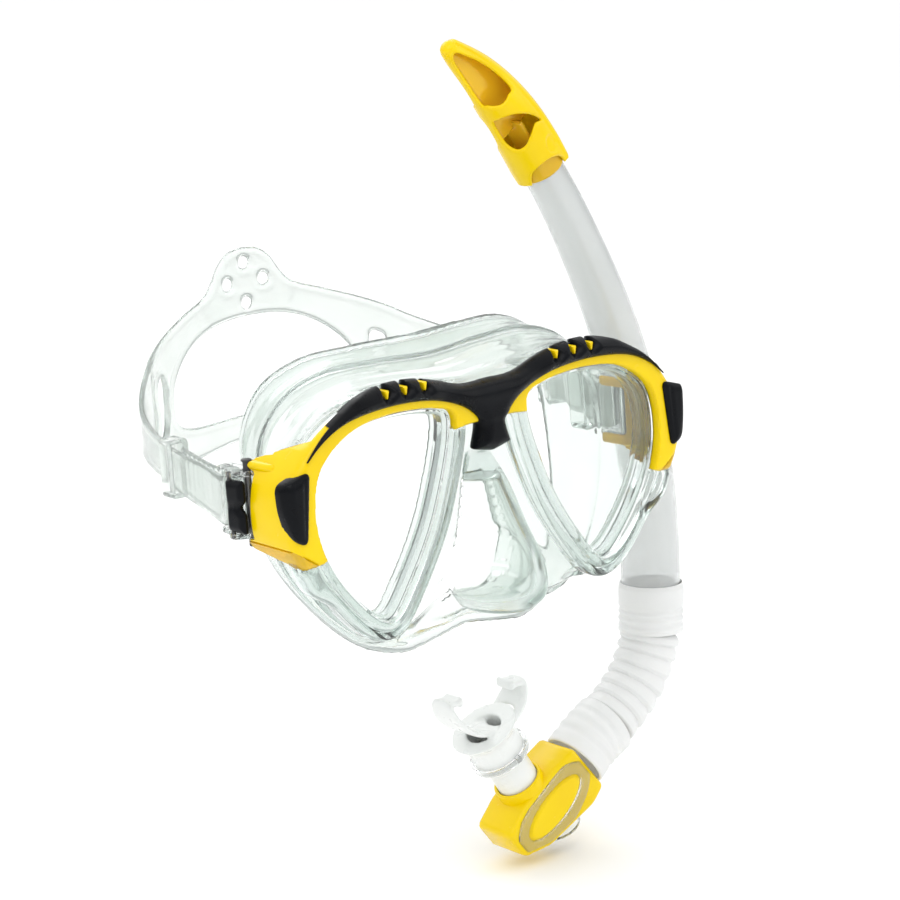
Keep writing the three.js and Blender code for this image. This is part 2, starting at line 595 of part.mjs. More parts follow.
function mouthHousing() {
  const points = outline(HOUSING_POINTS);
  const shell = plate(points, TUBE_Y - HOUSING_HALF, TUBE_Y + HOUSING_HALF);
  const hollowHalf = HOUSING_HALF - HOUSING_WALL;
  const inside = plate(grown(points, -HOUSING_WALL), TUBE_Y - hollowHalf, TUBE_Y + hollowHalf);
  const inlet = bar(inPlane([[80, -127], [66, -135.5]]), () => INLET_R, 1);
  const neck = rod(SPIGOT_BASE, onSpigot(5), SPIGOT_R + 1.6);
  return shell.add(neck).subtract(inside).subtract(inlet)
    .subtract(rod(onValve(-6), onValve(9), DRAIN_R))
    .subtract(rod(onSpigot(1), SPIGOT_END, SPIGOT_R + GAP))
    .subtract(rod(SPIGOT_BASE, SPIGOT_END, SPIGOT_R - SPIGOT_WALL));
}
add("mouth_housing", mouthHousing(), "yellow");

function spigot() {
  const airway = rod(SPIGOT_BASE, SPIGOT_END.clone().addScaledVector(spigotAxis, 2), SPIGOT_R - SPIGOT_WALL);
  return rod(onSpigot(1 + GAP), SPIGOT_END, SPIGOT_R).subtract(airway);
}
add("spigot", spigot(), "clear");
add("purge_valve", rod(onValve(GAP), onValve(GAP + 0.8), DRAIN_R + 1.2), "silicone");

// A low cap over the valve, open to the water through four slots.
function purgeCover() {
  const inside = rod(onValve(-1), onValve(3.4), PURGE_R - 1.6, 24);
  let cap = rod(onValve(GAP), onValve(4.6), PURGE_R, 24).subtract(inside);
  for (const angle of [0.25, 0.75]) {
    const across = vec(0, 1, 0).applyAxisAngle(valveAxis, Math.PI * angle);
    const ends = [-12, 12].map((step) => onValve(2.2).addScaledVector(across, step));
    cap = cap.subtract(rod(...ends, 0.9, 8));
  }
  return cap;
}
add("purge_cover", purgeCover(), "clear");

const FLANGE_CENTRE = vec(26, TUBE_Y, -90);
const FLANGE_START = 186; // degrees round the flange's centre
const FLANGE_SWEEP = 168;

// A curved flange that lies inside the lips, two bite tabs, and a sleeve over the spigot.
function mouthpiece() {
  const steps = 16;
  const arc = [];
  for (let i = 0; i <= steps; i += 1) arc.push([FLANGE_R, FLANGE_START + (FLANGE_SWEEP * i) / steps]);
  for (const [radius, angle] of [...arc].reverse()) arc.push([radius - FLANGE_WALL, angle]);
  const points = arc.map(([radius, degrees]) => {
    const angle = THREE.MathUtils.degToRad(degrees);
    const [x, z] = [radius * Math.cos(angle), radius * Math.sin(angle)];
    return new THREE.Vector2(FLANGE_CENTRE.x + x, FLANGE_CENTRE.z + z);
  });
  const flange = plate(points, TUBE_Y - FLANGE_HALF, TUBE_Y + FLANGE_HALF);
  const start = SPIGOT_END.clone().addScaledVector(spigotAxis, -7);
  const end = SPIGOT_END.clone().addScaledVector(spigotAxis, 7.5);
  const neck = rod(start, end, SLEEVE_R, 20);
  const socketStart = start.clone().addScaledVector(spigotAxis, -1);
  const socket = rod(socketStart, SPIGOT_END.clone().addScaledVector(spigotAxis, GAP), SPIGOT_R + GAP, 20);
  const airway = rod(SPIGOT_END, end.clone().addScaledVector(spigotAxis, 14), SPIGOT_R - 2.2, 16);
  const reach = FLANGE_R - FLANGE_WALL / 2;
  const tabs = [-1, 1].map((sign) => {
    const inner = FLANGE_CENTRE.x + sign * (reach - 8);
    const outer = FLANGE_CENTRE.x + sign * reach;
    return box(vec(Math.min(inner, outer), TUBE_Y - 5, FLANGE_CENTRE.z - 5.4),
      vec(Math.max(inner, outer), TUBE_Y + 5, FLANGE_CENTRE.z - 2.6));
  });
  const hollowEnds = [-12, 12].map((step) => FLANGE_CENTRE.clone().add(vec(0, step, 0)));
  const hollow = rod(...hollowEnds, FLANGE_R - FLANGE_WALL, 32);
  return neck.subtract(hollow).add(flange).add(tabs[0]).add(tabs[1]).subtract(socket).subtract(airway);
}
add("mouthpiece", mouthpiece(), "silicone");

// A small tie band holds the mouthpiece on the spigot.
function tieBand() {
  const [low, high] = [-5.4, -2.6].map((step) => SPIGOT_END.clone().addScaledVector(spigotAxis, step));
  const [under, over] = [-7, -1].map((step) => SPIGOT_END.clone().addScaledVector(spigotAxis, step));
  return rod(low, high, SLEEVE_R + 1.5, 24).subtract(rod(under, over, SLEEVE_R + GAP, 24));
}
add("mouthpiece_band", tieBand(), "clear");

// A thin blade inside the top guard turns splashes away from the tube.
const blade = outline([[69, 103.4], [59.5, 117.6], [58.2, 116.7], [67.7, 102.5]]);
add("splash_deflector", plate(blade, TUBE_Y - 6, TUBE_Y + 6), "amber");

export default model;
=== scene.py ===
"""Looks of a twin-lens snorkelling mask with its head strap and a clipped-on snorkel.

Sizes are in millimetres in the CAD model's frame: +X wearer's left, -Y forwards, +Z up, with
the origin at the centre of the face seal. Meshes are written in metres.
"""

import math

import bmesh
import bpy
import numpy as np
from mathutils import Matrix


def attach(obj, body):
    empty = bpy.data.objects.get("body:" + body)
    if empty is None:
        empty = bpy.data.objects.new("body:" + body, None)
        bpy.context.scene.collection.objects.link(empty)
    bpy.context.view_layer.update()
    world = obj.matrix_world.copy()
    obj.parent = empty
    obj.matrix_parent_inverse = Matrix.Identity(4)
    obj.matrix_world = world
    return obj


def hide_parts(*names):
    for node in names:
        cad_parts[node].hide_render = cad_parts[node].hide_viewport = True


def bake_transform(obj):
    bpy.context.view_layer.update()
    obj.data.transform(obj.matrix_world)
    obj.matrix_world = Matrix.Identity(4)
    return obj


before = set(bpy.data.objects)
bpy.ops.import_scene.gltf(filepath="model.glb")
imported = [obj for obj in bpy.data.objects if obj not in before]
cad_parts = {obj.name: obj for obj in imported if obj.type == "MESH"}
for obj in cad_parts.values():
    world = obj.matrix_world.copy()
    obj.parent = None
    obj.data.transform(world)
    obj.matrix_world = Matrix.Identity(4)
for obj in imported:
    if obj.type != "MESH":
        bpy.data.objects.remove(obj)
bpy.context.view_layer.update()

MM = 0.001
UP = [0, 0, 1]
SHARP_ANGLE = 38  # degrees between two faces that make a crisp edge
SIDES = [(1, "left"), (-1, "right")]

# ---- camera ----
CAMERA_PLACE = (-0.642225, -0.838333, 0.260853)
CAMERA_AZIMUTH = math.radians(-38.24)
CAMERA_ELEVATION = math.radians(13.64)
CAMERA_ROLL = math.radians(-4.07)
FOCAL_LENGTH = 120
SENSOR_WIDTH = 36


def add_camera():
    data = bpy.data.cameras.new("camera")
    data.lens = FOCAL_LENGTH
    data.sensor_width = SENSOR_WIDTH
    data.clip_end = 50
    azimuth, elevation, roll = CAMERA_AZIMUTH, CAMERA_ELEVATION, CAMERA_ROLL
    back = np.array([math.sin(azimuth) * math.cos(elevation), -math.cos(azimuth) * math.cos(elevation),
                     math.sin(elevation)])
    right = np.array([math.cos(azimuth), math.sin(azimuth), 0.0])
    up = np.cross(back, right)
    turned_right = math.cos(roll) * right + math.sin(roll) * up
    turned_up = math.cos(roll) * up - math.sin(roll) * right
    camera = bpy.data.objects.new("camera", data)
    matrix = np.eye(4)
    matrix[:3] = np.column_stack([turned_right, turned_up, back, CAMERA_PLACE])
    camera.matrix_world = Matrix(matrix.tolist())
    bpy.context.collection.objects.link(camera)
    bpy.context.scene.camera = camera


add_camera()

# ---- driving dimensions ----
# Mask front. GAP is the clearance between separate pieces; the other values are y or widths.
GAP = 0.3
FRONT = -47.5
RING_BACK = -37.0
RING_WIDTH = 7.0
LENS_THICKNESS = 4.0
LENS_RECESS = 1.2
LEDGE = 2.0
TRIM_FRONT = -48.6
TRIM_BACK = -45.3
TRIM_EDGE_R = 0.9
LENS_EDGE_R = 0.8
WING_EDGE_R = 4.1
WING_BACK = -24.6
BROW_FRONT = -52.2
BROW_BACK = -43.0
BROW_BACK_R = 3.0
BROW_CROWN_REACH = 4.6  # depth from its outline at which the brow cover is at full height
PAD_FRONT = -50.6
PAD_BACK = -44.0
PAD_CROWN_REACH = 3.6
PAD_CREASE_X = 84.2
SKIRT_FRONT = RING_BACK + GAP
SKIRT_WALL = 2.2
NOSE_WALL = 1.8
SEAL_EDGE_THICKNESS = 1.0

# Buckles, seen from above: places are (x, y) on the wearer's left.
BUCKLE_Z = 8.0
PIVOT = np.array([86.0, -21.0])
ROLLER = np.array([86.0, -9.5])
LEVER_PIN = np.array([91.8, -18.4])
BUCKLE_HALF = 9.8
CHEEK = 2.0
ARM = 3.0
ARM_HALF = BUCKLE_HALF + CHEEK + GAP
PIN_R = 1.5
ROLLER_R = 2.2
LEVER_PIN_R = 0.8
LEVER_FRONT = -25.8
LEVER_REAR = -16.4
BARREL_R = 3.0
WRAP_R = 4.4

# Head strap.
STRAP_THICKNESS = 2.0
STRAP_HALF_WIDTH = 88.0
STRAP_DEPTH = 88.0
STRAP_SQUARENESS = 2.2
STRAP_SHOULDER = 8.0
BAND_START = 24.0  # y where the band ends and the strap ends begin
STRAP_HOLE_R = 2.4

# Snorkel, which lies in the plane y = TUBE_Y.
TUBE_Y = 2.0
TUBE_WALL = 1.5
TUBE_TOP_R = 7.8
TUBE_BOTTOM_R = 11.8
HOSE_R = 11.6
HOSE_WALL = 1.5
HOSE_STEP = 0.9
CUFF_R = 12.9
KEEPER_RING_T = 0.61  # where the keeper's ring sits along the tube: 0 at its top, 1 at its bottom
KEEPER_RING_LENGTH = 10
KEEPER_RING_R = 12.6
CLIP_OUTER = [(81.6, -3.4), (91.8, 21.4)]  # corners of the strap clip's outer rectangle, in (x, z)
CLIP_INNER = [(83.2, -1.6), (89.7, 19.8)]
GUARD_WALL = 1.6
HOUSING_HALF = 10.5
SPIGOT_R = 8.2
FLANGE_R = 20.0
FLANGE_WALL = 2.4
FLANGE_SKIN = 1.9
FLANGE_HALF = 8.4
SLEEVE_R = SPIGOT_R + 2.2

# Outlines of the mask front: (x, z) points, for the wearer's left half only.
LENS_POINTS = [
    [17.3, 28.5], [24, 31.8], [45, 33.6], [62, 30.4], [74.5, 20.5], [77.6, 4], [73.5, -12], [63, -28],
    [52.5, -37.6], [47.5, -37.8], [38, -26.5], [25, -3.5]]
TRIM_POINTS = [
    [0, 37.5], [18, 38.2], [30, 40.6], [46, 41.6], [58, 40.4], [70, 35], [80, 27.5], [87, 18], [89.3, 6],
    [88.4, -4], [84, -12], [82.5, -12.4], [76, -11], [60, 0], [30, 20], [14, 23.5], [6.4, 24], [0, 24]]
BROW_TOP = [[0, 38.4], [12, 38.6], [23, 42], [33, 44.4], [46, 44.8], [57, 42.4], [62, 40], [73, 33.2],
            [84, 22]]
BROW_UNDER = [[84, 22], [74.5, 30.2], [64, 35], [46, 37.2], [28, 36], [17, 32.8], [9.5, 28.5], [6.2, 24],
              [8.2, 14.6]]
BROW_NOSE_END = [0, 12.4]
NOTCHES = [29.8, 38.2, 46.2]
NOTCH_FLOOR = 40.2
WING_END_X = 88.0
WING_END_Z = -4.5
PAD_POINTS = [[80.2, 22.2], [91.6, 18.6], [91.2, 10], [88.4, -0.8], [83.2, -3.2]]
WING_PROFILE = [  # (y, z): the rear edge, with a corner over each fork arm
    [-50, 33], [-32, 27], [-21.6, 23.4], [-20.2, 20.4], [WING_BACK, 19.6], [WING_BACK, -3.6], [-20.2, -4.4],
    [-21.6, -7.4], [-38, -10.5], [-50, -13]]
SKIRT_FRONT_EDGE = [
    [0, 36], [25, 39], [46, 40], [64, 36], [78, 25], [83, 6], [79, -15], [68, -33], [50, -45.5], [36, -38],
    [18, -22], [0, -16]]
SKIRT_REAR_EDGE = [
    [0, -4, 48.5], [25, -1, 48.4], [46, 2, 46.8], [61, 4, 39.5], [69, 5, 25], [70.5, 3, 4], [67, -2, -18],
    [58, -10, -37], [44, -20, -53], [28, -24, -58.5], [13, -25, -56.5], [0, -25, -54.5]]
NOSE_SECTIONS = [  # height, half width, front y, back y
    [11, 4, -44, -34], [0, 8, -51, -33], [-15, 11.5, -58, -30], [-29, 15, -65, -27], [-39, 15.5, -65, -26],
    [-44, 12, -60, -27]]
BAND_EDGES = [  # distance from the middle of the back, bottom, top
    [0, -2.5, 71.5], [7, -2.7, 70.3], [12, -3, 66.5], [16, -3.5, 60.5], [20, -4, 56], [33, -5, 51],
    [47, -4, 46], [58, -1, 41.5], [68, 4, 36.5], [86, 9.5, 30], [109, 9.5, 25.5], [125, 7.3, 22.4],
    [141, 3, 19.6], [160, -1, 17]]
OVAL_POINTS = [[0, 45], [20, 42.5], [34, 35], [42.5, 24], [41.5, 12], [34, 8], [0, 7]]
SLOT_POINTS = [[-2.6, 12], [1.6, 10], [1.2, -4], [3.4, -12.5], [-1.6, -9], [-3.4, 0]]
SLOT_CENTRE = [52, 19.5]
STRAP_HOLES = [[0, 65.6], [-8.4, 58.2], [8.4, 58.2], [0, 50]]

# Centre lines and outlines of the snorkel: (x, z) points.
TUBE_PATH = [[70.6, 101.4], [81, 83], [89.3, 66], [96, 51], [102.4, 34.5], [107.8, 17], [112, -1],
             [115.2, -25], [116, -50], [114.4, -82]]
GUARD_PATH = [[72.4, 97.5], [66.6, 107.5], [57.5, 121], [45.5, 135], [31.5, 147.5]]
UPPER_CUFF_PATH = [[115.4, -71.5], [114.8, -80], [113.9, -90.9]]
HOSE_PATH = [[113.8, -91.2], [110.8, -99], [105, -108.4], [97, -116], [88.3, -121.9]]
LOWER_CUFF_PATH = [[87.6, -122.5], [79.3, -126.6], [70.2, -133.2]]
HOUSING_POINTS = [[62.2, -123.9], [76.4, -142.8], [71, -149], [48, -159.5], [35, -160.5], [27.5, -150],
                  [36, -140.5], [52, -129.5]]
SPIGOT_BASE = np.array([43.5, TUBE_Y, -136.8])
SPIGOT_END = np.array([31.4, TUBE_Y, -116.4])
PAD_CENTRE = np.array([50.5, -144.5])
PAD_AXIS = np.array([0.82, 0.572])
PAD_HALF_LENGTH = 15.5
PAD_HALF_WIDTH = 6.2
VALVE_CENTRE = np.array([59.5, TUBE_Y, -154.25])
VALVE_AXIS = np.array([10.5, 0, -23]) / math.hypot(10.5, 23)
FLANGE_CENTRE = np.array([26.0, TUBE_Y, -90.0])
SPIGOT_AXIS = (SPIGOT_END - SPIGOT_BASE) / np.linalg.norm(SPIGOT_END - SPIGOT_BASE)
PAD_ACROSS = np.array([-PAD_AXIS[1], PAD_AXIS[0]])


# ---- curves and outlines ----
def spline(points, t, closed=False):
    """Points at t, from 0 to 1, on a centripetal Catmull-Rom curve through the given points."""
    points = np.asarray(points, float)
    t = np.atleast_1d(np.asarray(t, float))
    if closed:
        knots = np.vstack([points[-1:], points, points[:2]])
        spans = len(points)
    else:
        knots = np.vstack([2 * points[:1] - points[1:2], points, 2 * points[-1:] - points[-2:-1]])
        spans = len(points) - 1
    place = np.clip(t, 0, 1) * spans
    span = np.minimum(place.astype(int), spans - 1)
    u = (place - span)[:, None]
    p0, p1, p2, p3 = (knots[span + k] for k in range(4))
    d0, d1, d2 = (np.sqrt(np.linalg.norm(knots[span + k + 1] - knots[span + k], axis=1))[:, None]
                  for k in range(3))
    m1 = d1 * ((p1 - p0) / d0 - (p2 - p0) / (d0 + d1) + (p2 - p1) / d1)
    m2 = d1 * ((p2 - p1) / d1 - (p3 - p1) / (d1 + d2) + (p3 - p2) / d2)
    return p1 + m1 * u + (3 * (p2 - p1) - 2 * m1 - m2) * u ** 2 + (2 * (p1 - p2) + m1 + m2) * u ** 3


def even(line, count, closed):
    """The same line with evenly spaced points."""
    line = np.asarray(line, float)
    if closed:
        line = np.vstack([line, line[:1]])
    run = np.concatenate([[0], np.cumsum(np.linalg.norm(np.diff(line, axis=0), axis=1))])
    goals = np.linspace(0, run[-1], count + 1 if closed else count)[:count]
    return np.stack([np.interp(goals, run, line[:, k]) for k in range(line.shape[1])], axis=1)


def smooth(points, count, closed=True):
    """An evenly spaced smooth line through a few points."""
    fine = np.linspace(0, 1, 40 * len(points), endpoint=not closed)
    return even(spline(points, fine, closed), count, closed)


def unit(vectors):
    return vectors / np.linalg.norm(vectors, axis=-1, keepdims=True)


def angles_round(count):
    return np.linspace(0, 2 * math.pi, count, endpoint=False)


def circle(centre, radius, count=24):
    angles = angles_round(count)
    return np.stack([centre[0] + radius * np.cos(angles), centre[1] + radius * np.sin(angles)], axis=1)


def anticlockwise(loop):
    return loop if signed_area(loop) > 0 else loop[::-1].copy()


def outward(loop):
    """Outward unit normals of an anticlockwise loop."""
    along = np.roll(loop, -1, axis=0) - np.roll(loop, 1, axis=0)
    return unit(np.stack([along[:, 1], -along[:, 0]], axis=1))


def grown(loop, distance):
    return loop + distance * outward(loop)


def both_halves(line):
    """A closed outline from its half at +x, which starts and ends on the middle line."""
    other = line[1:-1][::-1] * [-1, 1]
    return anticlockwise(np.vstack([line, other]))


def rounded_corners(points, radius, steps=6):
    """A closed polygon with each corner turned into an arc-like curve."""
    points = np.asarray(points, float)
    result = []
    for before, corner, after in zip(np.roll(points, 1, axis=0), points, np.roll(points, -1, axis=0)):
        to_before, to_after = before - corner, after - corner
        reach_before = min(radius, 0.45 * np.linalg.norm(to_before))
        reach_after = min(radius, 0.45 * np.linalg.norm(to_after))
        start = corner + to_before / np.linalg.norm(to_before) * reach_before
        end = corner + to_after / np.linalg.norm(to_after) * reach_after
        for t in np.linspace(0, 1, steps):
            result.append((1 - t) ** 2 * start + 2 * t * (1 - t) * corner + t ** 2 * end)
    return anticlockwise(np.array(result))


def rectangle(low, high, radius):
    corners = [[low[0], low[1]], [high[0], low[1]], [high[0], high[1]], [low[0], high[1]]]
    return rounded_corners(corners, radius)


def signed_area(loop):
    ahead = np.roll(loop, -1, axis=0)
    return (loop[:, 0] * ahead[:, 1] - ahead[:, 0] * loop[:, 1]).sum() / 2


def fillet(depth, radius):
    """How far a rounded edge falls away at each depth inside an outline."""
    return radius - np.sqrt(np.maximum(radius ** 2 - np.maximum(radius - depth, 0) ** 2, 0))


def dome(depth, reach):
    """Rises from 0 at an outline to 1 at a depth of reach, steeply at first."""
    return 1 - (1 - np.clip(depth / reach, 0, 1)) ** 2


def ramp(value, start, end):
    """Rises smoothly from 0 at start to 1 at end."""
    t = np.clip((value - start) / (end - start), 0, 1)
    return t * t * (3 - 2 * t)


# ---- shapes: (points, faces) ----
def loft(loops, wrap=False):
    """A closed skin over loops with equally many points: capped at its ends, or joined into a ring."""
    loops = np.asarray(loops, float)
    rows, columns = loops.shape[:2]
    index = np.arange(rows * columns).reshape(rows, columns)
    beside = np.roll(index, -1, axis=1)
    above = np.roll(index, -1, axis=0)
    above_beside = np.roll(above, -1, axis=1)
    quads = np.stack([index, beside, above_beside, above], axis=-1)
    faces = quads[: rows if wrap else rows - 1].reshape(-1, 4).tolist()
    if not wrap:
        faces.append(index[0][::-1].tolist())
        faces.append(index[-1].tolist())
    return loops.reshape(-1, 3), faces


def joined(*shapes):
    points, faces, start = [], [], 0
    for shape_points, shape_faces in shapes:
        points.append(shape_points)
        faces += [[i + start for i in face] for face in shape_faces]
        start += len(shape_points)
    return np.vstack(points), faces


def on_side(shape, side):
    """The shape as it is for the wearer's left, or mirrored for the right."""
    if side > 0:
        return shape
    points, faces = shape
    return points * [-1, 1, 1], [face[::-1] for face in faces]


def basis(axis):
    """Two directions across an axis."""
    axis = unit(np.asarray(axis, float))
    side = unit(np.cross(axis, [0, 1, 0] if abs(axis[1]) < 0.9 else [1, 0, 0]))
    return axis, side, np.cross(axis, side)


def turned(start, axis, profile, wrap=False, sides=48):
    """A turned piece: profile gives (distance along the axis, radius)."""
    axis, side, other = basis(axis)
    angles = angles_round(sides)
    circle = np.cos(angles)[:, None] * side + np.sin(angles)[:, None] * other
    return loft([np.asarray(start) + axis * along + circle * radius for along, radius in profile], wrap)


def rod_profile(length, radius, edge=0.4):
    corner = [(edge * (1 - math.cos(a)), radius - edge * (1 - math.sin(a)))
              for a in np.linspace(0, math.pi / 2, 5)]
    return corner + [(length - along, r) for along, r in reversed(corner)]


def sleeve_profile(length, outer, inner, edge=0.4):
    outside = rod_profile(length, outer, edge)
    inside = [(along, inner + outer - r) for along, r in outside]
    return outside + inside[::-1]


def rod(start, end, radius, edge=0.4, sides=32):
    axis = np.asarray(end, float) - start
    return turned(start, axis, rod_profile(np.linalg.norm(axis), radius, edge), sides=sides)


def swept(path, profile, wrap=False, sides=64, ridge=None):
    """A round skin along a path in the snorkel's plane. profile gives (t, radius)."""
    t = np.array([place for place, _ in profile])
    radius = np.array([r for _, r in profile])
    step = 1e-3
    centre = spline(path, t)
    along = unit(spline(path, np.minimum(t + step, 1)) - spline(path, np.maximum(t - step, 0)))
    angles = angles_round(sides)
    loops = []
    for point, (dx, dz), size in zip(centre, along, radius):
        reach = size * (1 if ridge is None else ridge(angles))
        across = reach * np.cos(angles)
        loops.append(np.stack([point[0] - dz * across, TUBE_Y + reach * np.sin(angles),
                               point[1] + dx * across], axis=1))
    return loft(loops, wrap)


def wall_profile(outer, inner, steps, start=0.0, end=1.0, lip=0.006):
    """Profile of a tube wall with rounded ends, for radii given as functions of t."""
    t = np.linspace(start, end, steps)
    rise = np.sqrt(np.clip(np.minimum(t - start, end - t) / lip, 0, 1))
    middle = [(outer(p) + inner(p)) / 2 for p in t]
    outside = [(p, m + (outer(p) - m) * (0.35 + 0.65 * q)) for p, m, q in zip(t, middle, rise)]
    inside = [(p, m - (m - inner(p)) * (0.35 + 0.65 * q)) for p, m, q in zip(t, middle, rise)]
    return outside + inside[::-1]


def depth_inside(points, loops):
    """Distance from each point to the nearest loop: positive inside an odd number of them."""
    starts = np.vstack(loops)
    ends = np.vstack([np.roll(loop, -1, axis=0) for loop in loops])
    along = ends - starts
    rise = np.where(np.abs(along[:, 1]) < 1e-9, 1e-9, along[:, 1])
    result = np.empty(len(points))
    for first in range(0, len(points), 4096):
        p = points[first:first + 4096, None, :]
        t = np.clip(((p - starts) * along).sum(-1) / (along ** 2).sum(-1), 0, 1)
        gap = np.linalg.norm(p - starts - t[..., None] * along, axis=-1).min(axis=1)
        crosses = (starts[:, 1] > p[..., 1]) != (ends[:, 1] > p[..., 1])
        at = starts[:, 0] + (p[..., 1] - starts[:, 1]) * along[:, 0] / rise
        odd = (crosses & (p[..., 0] < at)).sum(axis=1) % 2
        result[first:first + 4096] = np.where(odd == 1, gap, -gap)
    return result


def cut_grid(points, depth, wrap=False):
    """Keeps the part of a grid of points where depth isn't negative, with a clean edge."""
    rows, columns = depth.shape
    node = np.arange(rows * columns).reshape(rows, columns)
    right = np.roll(node, -1, axis=1)
    if not wrap:
        node, right = node[:, :-1], right[:, :-1]
    cells = np.stack([node[:-1], node[1:], right[1:], right[:-1]], axis=-1).reshape(-1, 4)
    points, depth = points.reshape(-1, 2), depth.reshape(-1)
    inside = depth[cells] >= 0
    solid = inside.all(axis=1) & (depth[cells].max(axis=1) > 0)
    faces = cells[solid].tolist()
    extra, crossings = [], {}

    def crossing(i, j):
        key = (min(i, j), max(i, j))
        if key not in crossings:
            share = depth[i] / (depth[i] - depth[j])
            extra.append(points[i] + share * (points[j] - points[i]))
            crossings[key] = len(points) + len(extra) - 1
        return crossings[key]

    for a, b, c, d in cells[inside.any(axis=1) & ~solid]:
        for triangle in ((a, b, c), (a, c, d)):
            if max(depth[list(triangle)]) <= 0:
                continue
            face = []
            for i, j in zip(triangle, triangle[1:] + triangle[:1]):
                if depth[i] >= 0:
                    face.append(int(i))
                if depth[i] * depth[j] < 0:
                    face.append(crossing(i, j))
            if len(face) >= 3:
                faces.append(face)
    if extra:
        points = np.vstack([points, extra])
        depth = np.concatenate([depth, np.zeros(len(extra))])
    used = np.unique(np.concatenate([np.array(face) for face in faces]))
    renumber = np.full(len(points), -1)
    renumber[used] = np.arange(len(used))
    return points[used], depth[used], [renumber[face].tolist() for face in faces]


def thickened(points, depth, faces, front, back, place):
    """Two sheets, front and back, joined by a wall along their edges."""
    edges = {(i, j) for face in faces for i, j in zip(face, face[1:] + face[:1])}
    count = len(points)
    rim = [[j, i, i + count, j + count] for i, j in edges if (j, i) not in edges]
    behind = [[i + count for i in reversed(face)] for face in faces]
    sheets = [place(points[:, 0], points[:, 1], side(points, depth)) for side in (front, back)]
    return np.vstack(sheets), faces + behind + rim


def plate(outline, holes, cell, front, back, place, depth_of=None):
    """A closed plate inside an outline and outside its holes, on a grid of points one cell apart.

    front and back give the heights of its two faces, and place turns grid points and heights into
    points in space. depth_of may narrow the plate further.
    """
    low = outline.min(axis=0) - 1.5 * cell
    rows, columns = np.ceil((outline.max(axis=0) + 1.5 * cell - low) / cell).astype(int) + 1
    a, b = np.meshgrid(low[0] + cell * np.arange(rows), low[1] + cell * np.arange(columns), indexing="ij")
    points = np.stack([a, b], axis=-1)
    line = points.reshape(-1, 2)
    outside_holes = [-depth_inside(line, [hole]) for hole in holes]
    depth = np.min([depth_inside(line, [outline]), *outside_holes], axis=0)
    if depth_of is not None:
        depth = np.minimum(depth, depth_of(line))
    points, depth = slid_to_edge(points, depth.reshape(rows, columns), cell)
    return thickened(*cut_grid(points, depth), front, back, place)


def slid_to_edge(points, depth, cell):
    """Moves grid points that nearly touch the outline on to it, so that no sliver faces are left."""
    slope = np.stack(np.gradient(depth, cell), axis=-1)
    length = np.maximum((slope ** 2).sum(axis=-1), 0.3)
    near = (np.abs(depth) < 0.38 * cell)[..., None]
    points = np.where(near, points - depth[..., None] * slope / length[..., None], points)
    return points, np.where(near[..., 0], 0, depth)


def facing(x, z, y):
    """Places an (x, z) outline with y as its height, so that its front face is forwards."""
    return np.stack([x, y, z], axis=1)


def in_plan(x, y, z):
    return np.stack([x, y, z], axis=1)


def from_side(y, z, x):
    return np.stack([x, y, z], axis=1)


def flat(level):
    return lambda points, depth: np.full(len(points), float(level))


def rounded_edge(level, radius, inwards):
    """A flat face whose edge is rounded: inwards is +1 where the plate's body lies at larger heights."""
    def height(points, depth):
        return level + inwards * fillet(depth, radius)
    return height


def round_plate(outline, holes, cell, low, high, radius, place):
    """A plate between two heights along the axis that place gives, with all its edges rounded."""
    return plate(outline, holes, cell, rounded_edge(low, radius, 1), rounded_edge(high, radius, -1), place)


# ---- Blender objects ----
def mesh_of(name, shape):
    points, faces = shape
    mesh = bpy.data.meshes.new(name)
    mesh.from_pydata((points * MM).tolist(), [], faces)
    mesh.validate()
    work = bmesh.new()
    work.from_mesh(mesh)
    bmesh.ops.remove_doubles(work, verts=work.verts, dist=1e-7)
    bmesh.ops.recalc_face_normals(work, faces=work.faces)
    work.to_mesh(mesh)
    work.free()
    return mesh


def new_object(name, mesh):
    obj = bpy.data.objects.new(name, mesh)
    bpy.context.collection.objects.link(obj)
    return obj


def with_modifiers(obj, *settings):
    """Applies modifiers, each given as (type, {property: value})."""
    for kind, values in settings:
        modifier = obj.modifiers.new(kind.lower(), kind)
        for key, value in values.items():
            setattr(modifier, key, value)
    bpy.context.view_layer.update()
    mesh = bpy.data.meshes.new_from_object(obj.evaluated_get(bpy.context.evaluated_depsgraph_get()))
    obj.modifiers.clear()
    obj.data = mesh
    return obj


def taken(obj):
    """The object's points and faces. The object itself is removed."""
    points = np.array([vertex.co[:] for vertex in obj.data.vertices]) / MM
    faces = [list(face.vertices) for face in obj.data.polygons]
    bpy.data.objects.remove(obj)
    return points, faces


def carved(shape, cutter):
    """The shape without the part inside the cutter."""
    body = new_object("carved_body", mesh_of("carved_body", shape))
    tool = new_object("carving_tool", mesh_of("carving_tool", cutter))
    with_modifiers(body, ("BOOLEAN", {"operation": "DIFFERENCE", "solver": "EXACT", "object": tool}))
    bpy.data.objects.remove(tool)
    return taken(body)


def melted(shape, voxel, passes):
    """Overlapping closed shapes joined into one smooth skin."""
    obj = new_object("melted", mesh_of("melted", shape))
    with_modifiers(obj, ("REMESH", {"mode": "VOXEL", "voxel_size": voxel * MM}),
                   ("SMOOTH", {"factor": 0.5, "iterations": passes}))
    return taken(obj)


def piece(name, shape, look, slot, body, sharp=SHARP_ANGLE, in_cad=True):
    """A finished piece that rides on a body and stands for the CAD node of its name, if there is one."""
    mesh = mesh_of(name, shape)
    mesh.shade_smooth()
    mesh.set_sharp_from_angle(angle=math.radians(sharp))
    mesh.materials.append(LOOK[look])
    obj = new_object(name, mesh)
    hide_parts(*([name] if in_cad else []))
    if body:
        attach(obj, body)
    return obj


